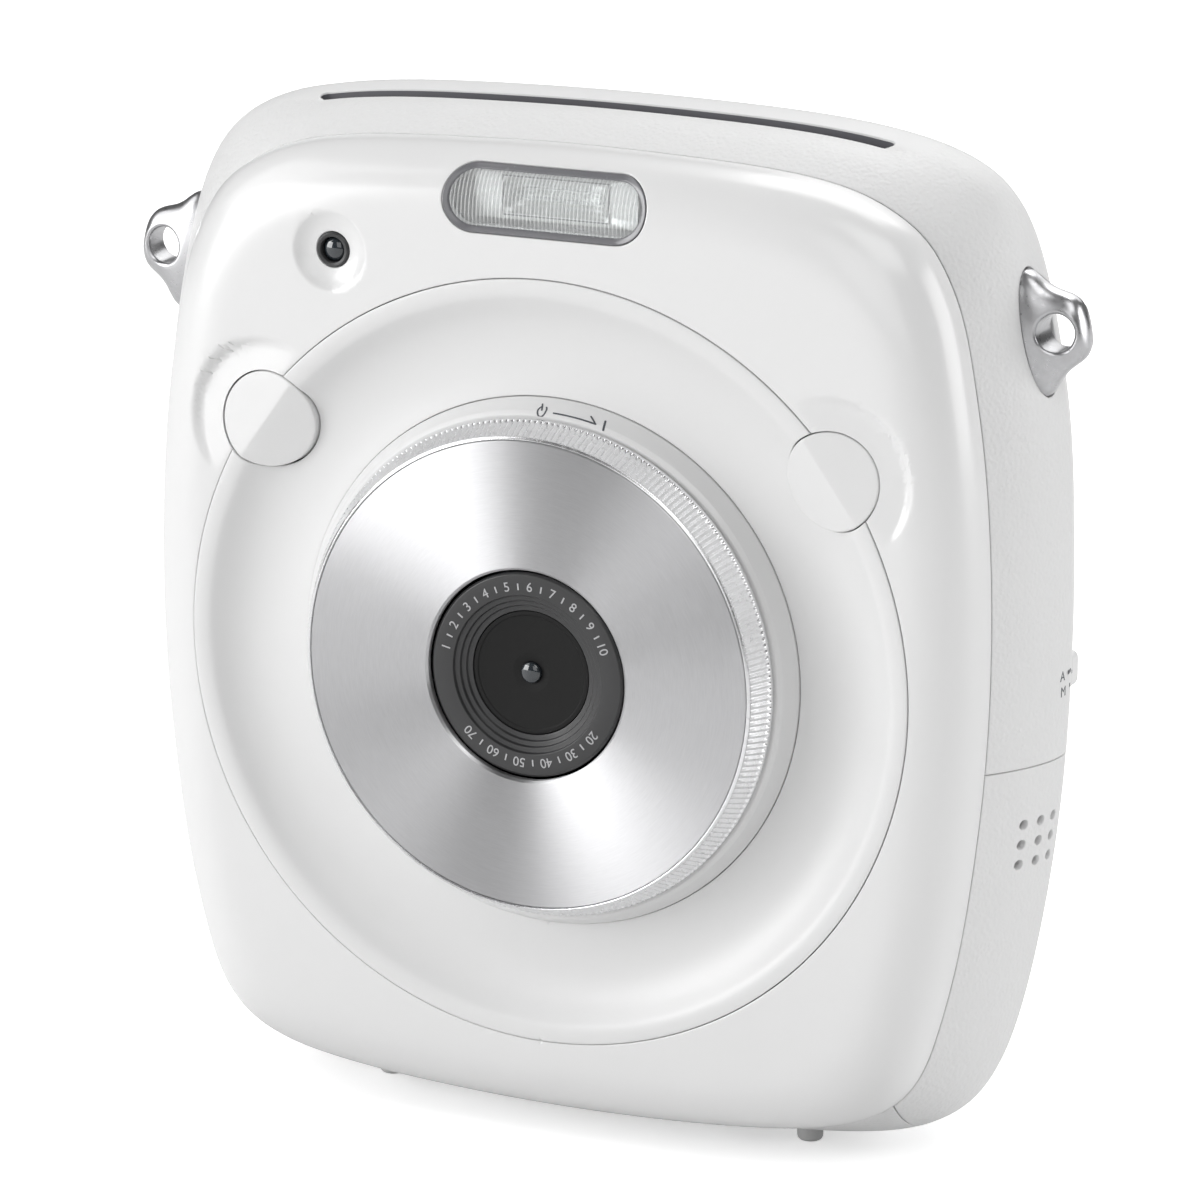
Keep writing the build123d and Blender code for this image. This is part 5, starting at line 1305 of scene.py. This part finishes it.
# Icon bars seen from the back: right of centre, up, width, height, angle
ICONS = {
    "print": [(0, 0.9, 2.6, 0.3, 0), (-1.3, 0.1, 0.3, 1.9, 0), (1.3, 0.1, 0.3, 1.9, 0),
              (0, -0.75, 2.9, 0.3, 0), (0, 0.1, 1.5, 0.25, 0)],
    "menu": [(0, 0.8, 2.4, 0.3, 0), (0, 0, 2.4, 0.3, 0), (0, -0.8, 2.4, 0.3, 0)],
    "back": [(0.25, 0.0, 2.2, 0.3, 0), (-0.45, 0.42, 1.3, 0.3, -0.75),
             (-0.45, -0.42, 1.3, 0.3, 0.75)],
    "exposure": [(-0.6, 0.5, 1.4, 0.28, 0), (-0.6, 0.5, 0.28, 1.4, 0), (0.75, -0.8, 1.3, 0.28, 0),
                 (0.0, 0.0, 0.22, 3.0, -0.75)],
    "vignette": [(0, 0, 0.1, 0.1, 0)],
    "filter": [(-0.6, 0, 1.1, 2.2, 0), (0.75, 0.55, 0.9, 0.9, 0), (0.75, -0.55, 0.9, 0.9, 0)],
}
ICON_Y, ICON_HALF = 22.56, 0.03


def rectangle(width, height):
    return [(sx * width / 2, sz * height / 2) for sx, sz in ((-1, -1), (1, -1), (1, 1), (-1, 1))]


def bar_outline(x, z, width, height, angle):
    cos, sin = math.cos(angle), math.sin(angle)
    return [(x + cos * across - sin * up, z + sin * across + cos * up)
            for across, up in rectangle(width, height)]


profile = rounded(DIAL, 4)
share = np.where(profile[:, 0] > 13.0, np.clip((profile[:, 0] - 13.0) / 0.8, 0, 1), 0.0)
piece(knurled("dial_ring", 96, np.c_[profile, share], depth=0.22, z=DIAL_Z), SILVER, "dial",
      "knurled_silver", "control_dial")
piece(lathe("centre_button", rounded(CENTRE_BUTTON), 96, (0.0, DIAL_Z)), SATIN, "ok",
      "satin_white", "ok_button")
for word, centre in KEYS.items():
    piece(lathe("cap_key_" + word, rounded(KEY_CAP), 72, centre), SATIN, word + "_key",
          "satin_white", "key_" + word)
for word, (x, z) in KEYS.items():
    outlines = [circle(x, z, 1.35, 24)] if word == "vignette" else []
    outlines += [bar_outline(x - right, z + rise, width, height, -angle)
                 for right, rise, width, height, angle in ICONS[word]]
    icon = prisms("icon_key_" + word, [
        [[(across, y, up) for across, up in outline]
         for y in (ICON_Y + ICON_HALF, ICON_Y - ICON_HALF)] for outline in outlines])
    clean(icon, 30)
    piece(icon, MARK, word + "_key", "inner_grey")


def latch_slide():
    """Slide with five cross ribs and rounded edges."""
    half_w, half_l, rows, cols, round_r = 1.38, 3.75, 61, 13, 0.3
    points = []
    for z in np.linspace(LATCH_Z - half_l, LATCH_Z + half_l, rows):
        wave = 0.28 * (0.5 + 0.5 * np.cos((z - LATCH_Z) * 2 * math.pi / 1.5))
        rib = wave * (abs(z - LATCH_Z) < 3.0)
        for x in np.linspace(-half_w, half_w, cols):
            rim = min(half_w - abs(x), z - (LATCH_Z - half_l), LATCH_Z + half_l - z, round_r)
            drop = round_r - math.sqrt(max(0.09 - (round_r - rim) ** 2, 0))
            points.append((LATCH_X + x, 22.1 + rib - drop, z))
    return capped_grid("latch_slide", points, rows, cols, lambda x, y, z: (x, 15.9, z), sharp=40)


piece(latch_slide(), SATIN, "latch", "satin_white", "door_latch")

# ------------------------------------------------------------------ strap lugs
# Stations: height out from the seat, half thickness along Y, half width
LUG_H, LUG_THICK, LUG_WIDE = np.array([
    (-8.0, 2.8, 7.55), (-2.6, 2.8, 7.55), (-1.9, 2.76, 7.25), (-1.2, 2.68, 6.6), (-0.4, 2.58, 5.7),
    (0.5, 2.5, 4.95), (1.4, 2.44, 4.45), (2.2, 2.36, 4.05), (2.9, 2.12, 3.55), (3.4, 1.7, 2.9),
    (3.75, 1.15, 2.1), (3.95, 0.0, 0.0)]).T
LUG_UNROLL = 5                  # radius at which the angle round the lug is unrolled
LUG_TOP = 3.93
EYE_ROUND = 0.45                # radius of the mouth of the eye
EYE_STEPS = 56


def strap_lug(side, word):
    """Tapered lug with a round eye through it along Y; side is the sign of x."""
    angles = np.linspace(0, 2 * math.pi, EYE_STEPS, endpoint=False)
    mouth = EYE_R + EYE_ROUND

    def surface(plan):
        height, turn = plan[:, 1], plan[:, 0] / LUG_UNROLL
        cos = np.cos(turn)
        across = pchip(LUG_H, LUG_WIDE, height) * np.sin(turn)
        y = -pchip(LUG_H, LUG_THICK, height) * np.sign(cos) * np.abs(cos) ** 0.8
        return np.c_[side * (LUG_X + height * LUG_COS - across * LUG_SIN), LUG_Y + y,
                     LUG_Z + height * LUG_SIN + across * LUG_COS]

    def mouth_loop(rear):
        x = EYE_X + mouth * np.cos(angles) - LUG_X
        z = LUG_Z + mouth * np.sin(angles) - LUG_Z
        height, across = x * LUG_COS + z * LUG_SIN, z * LUG_COS - x * LUG_SIN
        turn = np.arcsin(np.clip(across / pchip(LUG_H, LUG_WIDE, height), -0.999, 0.999))
        return np.c_[(math.pi - turn if rear else turn) * LUG_UNROLL, height]

    low, high = -LUG_UNROLL * math.pi / 2, LUG_UNROLL * 3 * math.pi / 2
    strip = resample([[low, -8.0], [high, -8.0], [high, LUG_TOP], [low, LUG_TOP]], 0.35)
    mouths = [mouth_loop(rear=False), mouth_loop(rear=True)]
    loops = oriented([strip] + mouths)
    rows = np.r_[-7, -5, -3.5, np.arange(-2.7, 3.9, 0.3)]
    grid = np.array([(turn + (0.2 if k % 2 else 0), height) for k, height in enumerate(rows)
                     for turn in np.arange(low + 0.3, high - 0.3, 0.4)])
    grid = grid[inside(grid, loops)]
    grid = grid[segment_distance(grid, *segments(loops)) > 0.18]
    domain, tris = triangulate(loops, [], [grid], 1e-6)
    points = surface(domain).tolist()
    faces = [tuple(tri) for tri in tris.tolist()]

    # Tube of the eye with rounded mouths: radius, depth under the mouth
    bends = [(mouth, 0.0)] + [
        (EYE_R + EYE_ROUND * (1 - math.sin(t)), EYE_ROUND * (1 - math.cos(t)))
        for t in np.linspace(0, math.pi / 2, 7)[1:]]
    front_y, rear_y = (surface(loop)[:, 1] for loop in mouths)
    rings = [(radius, front_y + depth) for radius, depth in bends]
    rings += [(radius, rear_y - depth) for radius, depth in reversed(bends)]
    start, n = len(points), EYE_STEPS
    for radius, ys in rings:
        points += [(side * (EYE_X + radius * math.cos(t)), y, LUG_Z + radius * math.sin(t))
                   for t, y in zip(angles, ys)]
    for k in range(len(rings) - 1):
        here, ahead = start + k * n, start + (k + 1) * n
        faces += [(here + i, here + (i + 1) % n, ahead + (i + 1) % n, ahead + i)
                  for i in range(n)]
    ob = make("strap_eye_" + word, points, faces, mesh_name="lug")
    bm = bmesh.new()
    bm.from_mesh(ob.data)
    bmesh.ops.remove_doubles(bm, verts=bm.verts, dist=4e-6)
    bmesh.ops.holes_fill(bm, edges=[e for e in bm.edges if e.is_boundary], sides=0)
    bmesh.ops.recalc_face_normals(bm, faces=bm.faces)
    bm.to_mesh(ob.data)
    bm.free()
    shade(ob.data, 60)
    piece(ob, CHROME, "body", "polished_metal", "strap_lug_" + word)


strap_lug(1, "right")
strap_lug(-1, "left")


# ------------------------------------------------------------------ mode switch
def mode_knob():
    """Pillow-shaped cap on the +X side."""
    rows, cols = 33, 25
    points = []
    for z in np.linspace(-2.28, 2.28, rows):
        for y in np.linspace(-1.68, 1.68, cols):
            out = math.hypot(max(abs(y) - 0.7, 0) / 0.98, max(abs(z) - 1.1, 0) / 1.18)
            dome = math.sqrt(max(1 - min(1.0, out)**2.6, 0)) ** 0.9
            points.append((56.95 + 1.4 * dome, MODE_Y + y, MODE_Z + z))

    def stem(x, y, z):
        return (53.4, MODE_Y + max(-0.8, min(0.8, y - MODE_Y)),
                MODE_Z + max(-2, min(2, z - MODE_Z)))

    return capped_grid("mode_knob_cap", points, rows, cols, stem, sharp=45)


piece(mode_knob(), SATIN, "mode_knob", "satin_white", "mode_switch")

# ------------------------------------------------------------------ printed marks
def bake_place(ob, origin, right, up, lift):
    """Move the mesh so its XY plane lies at origin, lifted off along its normal."""
    x = Vector(right).normalized()
    z = x.cross(Vector(up)).normalized()
    y = z.cross(x)
    matrix = Matrix((x, y, z)).transposed().to_4x4()
    matrix.translation = (Vector(origin) + z * lift) * MM
    ob.matrix_world = matrix
    bpy.context.view_layer.update()
    ob.data.transform(ob.matrix_world)
    ob.matrix_world = Matrix.Identity(4)


def side_place(y, z):
    """Place on the +X side of the body and the direction towards the rear there."""
    here, ahead = (BODY(find_uq([depth], z, z_of, 40, 150))[0] for depth in (y, y + 0.6))
    return here, ahead - here


def text_mark(name, text, size, origin, right, up, lift, material):
    curve = bpy.data.curves.new(name, "FONT")
    curve.body, curve.size, curve.extrude = text, size * MM, 0.02 * MM
    curve.align_x = curve.align_y = "CENTER"
    source = bpy.data.objects.new(name + "_t", curve)
    bpy.context.scene.collection.objects.link(source)
    graph = bpy.context.evaluated_depsgraph_get()
    mesh = bpy.data.meshes.new_from_object(source.evaluated_get(graph))
    bpy.data.objects.remove(source)
    ob = bpy.data.objects.new(name, mesh)
    bpy.context.scene.collection.objects.link(ob)
    bake_place(ob, origin, right, up, lift)
    clean(ob, 30)
    piece(ob, material, "body", "inner_grey")


# Slanted face of the collar from its outer edge to the nose, with lengths along it
COLLAR_FACE = rounded([(*COLLAR[0][:2], 0), *COLLAR[1:3], (*COLLAR[3][:2], 0)])[:-1]
COLLAR_LENGTHS = np.r_[0, np.cumsum(np.hypot(*np.diff(COLLAR_FACE, axis=0).T))]
COLLAR_UNROLL = 31.2            # radius at which the collar angle is unrolled


def collar_section(along):
    return np.c_[np.interp(along, COLLAR_LENGTHS, COLLAR_FACE[:, 0]),
                 np.interp(along, COLLAR_LENGTHS, COLLAR_FACE[:, 1])]


def collar_surface(plan):
    """Unrolled (turn, along) to a surface 0.025 mm off the collar face."""
    turn, along = plan[:, 0] / COLLAR_UNROLL, plan[:, 1]
    section = collar_section(along)
    ahead = collar_section(along + 0.02) - section
    normal = np.c_[-ahead[:, 1], ahead[:, 0]]
    normal /= np.maximum(np.hypot(normal[:, 0], normal[:, 1]), 1e-9)[:, None]
    radius, y = (section + normal * 0.025).T
    return np.c_[radius * np.cos(turn), y, LENS_Z + radius * np.sin(turn)]


def stroke(line, width):
    """Outline of a line with round ends."""
    along = np.gradient(line, axis=0)
    along /= np.hypot(along[:, 0], along[:, 1])[:, None]
    half = np.c_[-along[:, 1], along[:, 0]] * width / 2
    caps = []
    for end, sign in ((0, 1), (-1, -1)):
        angle = math.atan2(half[end, 1], half[end, 0])
        caps.append([line[end] + sign * width / 2 * np.array([math.cos(a), math.sin(a)])
                     for a in (angle + k * math.pi / 6 for k in range(1, 6))])
    return np.vstack([(line + half)[::-1], caps[0], line - half, caps[1]])


def on_collar(rows):
    """Unrolled points from (degrees, length along the face)."""
    rows = np.asarray(rows, float)
    return np.c_[np.radians(rows[:, 0]) * COLLAR_UNROLL, rows[:, 1]]


t = np.linspace(math.radians(128), math.radians(412), 30)
power_circle = on_collar([(89.87, 2.36)]) + np.c_[0.52 * np.cos(t), -0.82 * np.sin(t)]
# Power mark: name, unrolled line, width
for word, line, width in (
        ("ring", power_circle, 0.2),
        ("bar", on_collar([(90.6, 1.2), (90.25, 1.75), (89.95, 2.3)]), 0.2),
        ("arrow", on_collar(np.c_[np.linspace(87.0, 76.9, 16), np.full(16, 2.5)]), 0.2),
        ("barb", on_collar([(78.85, 1.6), (77.9, 2.05), (76.95, 2.5)]), 0.2),
        ("end", on_collar([(75.45, 1.55), (75.05, 2.2), (74.7, 2.85)]), 0.26)):
    mark = panel("power_mark_" + word, [stroke(line, width)], collar_surface, depth=0.06,
                 step=0.8, border_step=0.12, edge=0.0)
    piece(mark, MARK, "body", "inner_grey")

# Scale on the lens ring: numbers 1 to 10 over the top, 20 to 70 below, ticks half way between
TOP_START, TOP_PITCH, LOW_START, LOW_PITCH = 168, 16, -38, 19
SCALE_Y, NUMBER_R = -24.0, 10.75
numbers = [(str(k + 1), TOP_START - TOP_PITCH * k) for k in range(10)]
numbers += [(str(20 + 10 * k), LOW_START - LOW_PITCH * k) for k in range(6)]
for i, (text, degrees) in enumerate(numbers):
    cos, sin = math.cos(math.radians(degrees)), math.sin(math.radians(degrees))
    text_mark(f"scale_number_{i + 1}", text, 1.62,
              (NUMBER_R * cos, SCALE_Y, LENS_Z + NUMBER_R * sin),
              right=(sin, 0, -cos), up=(cos, 0, sin), lift=0.02, material=PALE)
tick_angles = [TOP_START - TOP_PITCH * (k + 0.5) for k in range(9)]
tick_angles += [LOW_START - LOW_PITCH * (k + 0.5) for k in range(5)]
TICK = ((10.35, -0.09), (11.15, -0.09), (11.15, 0.09), (10.35, 0.09))   # radius, across
tick_loops = []
for angle in map(math.radians, tick_angles):
    cos, sin = math.cos(angle), math.sin(angle)
    tick_loops.append([[(r * cos - w * sin, y, LENS_Z + r * sin + w * cos) for r, w in TICK]
                       for y in (SCALE_Y - 0.03, SCALE_Y + 0.03)])
scale_ticks = prisms("scale_ticks", tick_loops)
clean(scale_ticks, 30)
piece(scale_ticks, PALE, "body", "inner_grey")

# Marks beside the mode switch: y, z, width, height
for name, y, z, width, height in (("mode_tick_1", 0.35, 61.35, 1.35, 0.42),
                                  ("mode_tick_2", 0.75, 59.6, 0.5, 0.45)):
    tick = prisms(name, [[[(a, b, level) for a, b in rectangle(width, height)]
                          for level in (-0.04, 0.02)]])
    origin, rearward = side_place(y, z)
    bake_place(tick, origin, rearward, (0, 0, 1), lift=0.0)
    clean(tick, 30)
    piece(tick, MARK, "body", "inner_grey")
for name, text, y, z in (("mode_letter_1", "A", -1.65, 61.15), ("mode_letter_2", "M", -1.3, 59.2)):
    origin, rearward = side_place(y, z)
    text_mark(name, text, 1.75, origin, rearward, (0, 0, 1), lift=0.0, material=MARK)
knob_tick = prisms("mode_knob_tick", [[
    [(58.2 + out, 4.25 + y, MODE_Z + z)
     for y, z in ((-1.3, -0.22), (0.2, -0.22), (0.2, 0.22), (-1.3, 0.22))]
    for out in (-0.5, 0.12)]])
clean(knob_tick, 30)
piece(knob_tick, MARK, "mode_knob", "inner_grey")

# ------------------------------------------------------------------ camera (metres from here on)
CAMERA_PLACE = (0.2840, -0.6191, 0.2451)
CAMERA_AZIMUTH, CAMERA_ELEVATION = math.radians(24.76), math.radians(14.95)
CAMERA_ROLL = -0.00445


def add_camera():
    data = bpy.data.cameras.new("camera")
    data.lens, data.sensor_width = 173.85, 36.0
    data.clip_start, data.clip_end = 0.05, 20.0
    ob = bpy.data.objects.new("camera", data)
    bpy.context.scene.collection.objects.link(ob)
    cos_a, sin_a = math.cos(CAMERA_AZIMUTH), math.sin(CAMERA_AZIMUTH)
    cos_e, sin_e = math.cos(CAMERA_ELEVATION), math.sin(CAMERA_ELEVATION)
    cos_r, sin_r = math.cos(CAMERA_ROLL), math.sin(CAMERA_ROLL)
    right = Vector((cos_a, sin_a, 0))
    up = Vector((-sin_a * sin_e, cos_a * sin_e, cos_e))
    back = Vector((sin_a * cos_e, -cos_a * cos_e, sin_e))
    matrix = Matrix((right * cos_r - up * sin_r, right * sin_r + up * cos_r, back))
    matrix = matrix.transposed().to_4x4()
    matrix.translation = Vector(CAMERA_PLACE)
    ob.matrix_world = matrix
    bpy.context.scene.camera = ob


add_camera()

# ------------------------------------------------------------------ lights and world
# Softboxes: azimuth (0 straight ahead, positive towards +X), elevation, size, power in watts
SOFTBOXES = [(-48, 9, 1.0, 18.5), (-64, 34, 1.0, 6.5), (180, 65, 1.0, 14.0), (105, 15, 1.0, 11.6),
             (180, 35, 1.0, 5.5), (40, 50, 0.9, 6.2), (12, 20, 0.9, 3.6)]
LIGHT_TARGET, LIGHT_DISTANCE = Vector((0, 0, 0.06)), 1.6
AMBIENT, GLOSSY_AMBIENT = 0.03, 0.1     # world light, and what glossy rays see on top of it
FLOOR_GLOW = 0.5                        # floor emission seen by the camera only


def softbox(name, azimuth, elevation, size, power):
    turn, rise = math.radians(azimuth), math.radians(elevation)
    direction = Vector((math.sin(turn) * math.cos(rise), -math.cos(turn) * math.cos(rise),
                        math.sin(rise)))
    place = direction * LIGHT_DISTANCE + LIGHT_TARGET
    light = bpy.data.lights.new(name, "AREA")
    light.shape, light.size, light.size_y, light.energy = "RECTANGLE", size, size, power
    ob = bpy.data.objects.new(name, light)
    bpy.context.scene.collection.objects.link(ob)
    aim = (place - LIGHT_TARGET).to_track_quat("Z", "Y").to_matrix().to_4x4()
    ob.matrix_world = Matrix.Translation(place) @ aim


def studio_world():
    """White to the camera, faint to everything else."""
    world = bpy.data.worlds.new("studio")
    bpy.context.scene.world = world
    world.use_nodes = True
    tree = world.node_tree
    path = node(tree, "ShaderNodeLightPath").outputs
    strength = node(tree, "ShaderNodeMath", {
        0: path["Is Glossy Ray"], 1: GLOSSY_AMBIENT, 2: AMBIENT}, operation="MULTIPLY_ADD")
    dim = tree.nodes["Background"]
    feed(tree, dim, {0: (1, 1, 1, 1), 1: strength.outputs[0]})
    backdrop = node(tree, "ShaderNodeBackground", {0: (1, 1, 1, 1), 1: 1.0})
    mixed = node(tree, "ShaderNodeMixShader", {
        0: path["Is Camera Ray"], 1: dim.outputs[0], 2: backdrop.outputs[0]})
    feed(tree, tree.nodes["World Output"], {"Surface": mixed.outputs[0]})


for i, row in enumerate(SOFTBOXES):
    softbox(f"softbox_{i + 1}", *row)
studio_world()

# ------------------------------------------------------------------ floor
FLOOR_Z = -0.7                                          # mm
FLOOR_RADII = (50, 100, 200, 400, 800, 1600, 3200)      # mm


def add_floor():
    """Disc of rings round a centre point."""
    n = 96
    points = [(0, 0, FLOOR_Z)]
    faces = [(0, 1 + k, 1 + (k + 1) % n) for k in range(n)]
    for ring, radius in enumerate(FLOOR_RADII):
        points += [(radius * math.cos(2 * math.pi * k / n), radius * math.sin(2 * math.pi * k / n),
                    FLOOR_Z) for k in range(n)]
        if ring:
            here, outer = 1 + (ring - 1) * n, 1 + ring * n
            faces += [(here + k, outer + k, outer + (k + 1) % n, here + (k + 1) % n)
                      for k in range(n)]
    floor = make("floor", points, faces)
    material = plastic("floor_white", grey(0.88), rough=0.7, vary=0.004, fine=0.0)
    tree = material.node_tree
    camera_ray = node(tree, "ShaderNodeLightPath").outputs["Is Camera Ray"]
    glow = node(tree, "ShaderNodeMath", {0: camera_ray, 1: FLOOR_GLOW}, operation="MULTIPLY")
    shader = next(n for n in tree.nodes if n.type == "BSDF_PRINCIPLED")
    feed(tree, shader, {"Emission Color": (1, 1, 1, 1), "Emission Strength": glow.outputs[0]})
    paint(floor, material)


add_floor()

bpy.context.scene.view_settings.view_transform = "Standard"
bpy.context.scene.view_settings.look = "None"
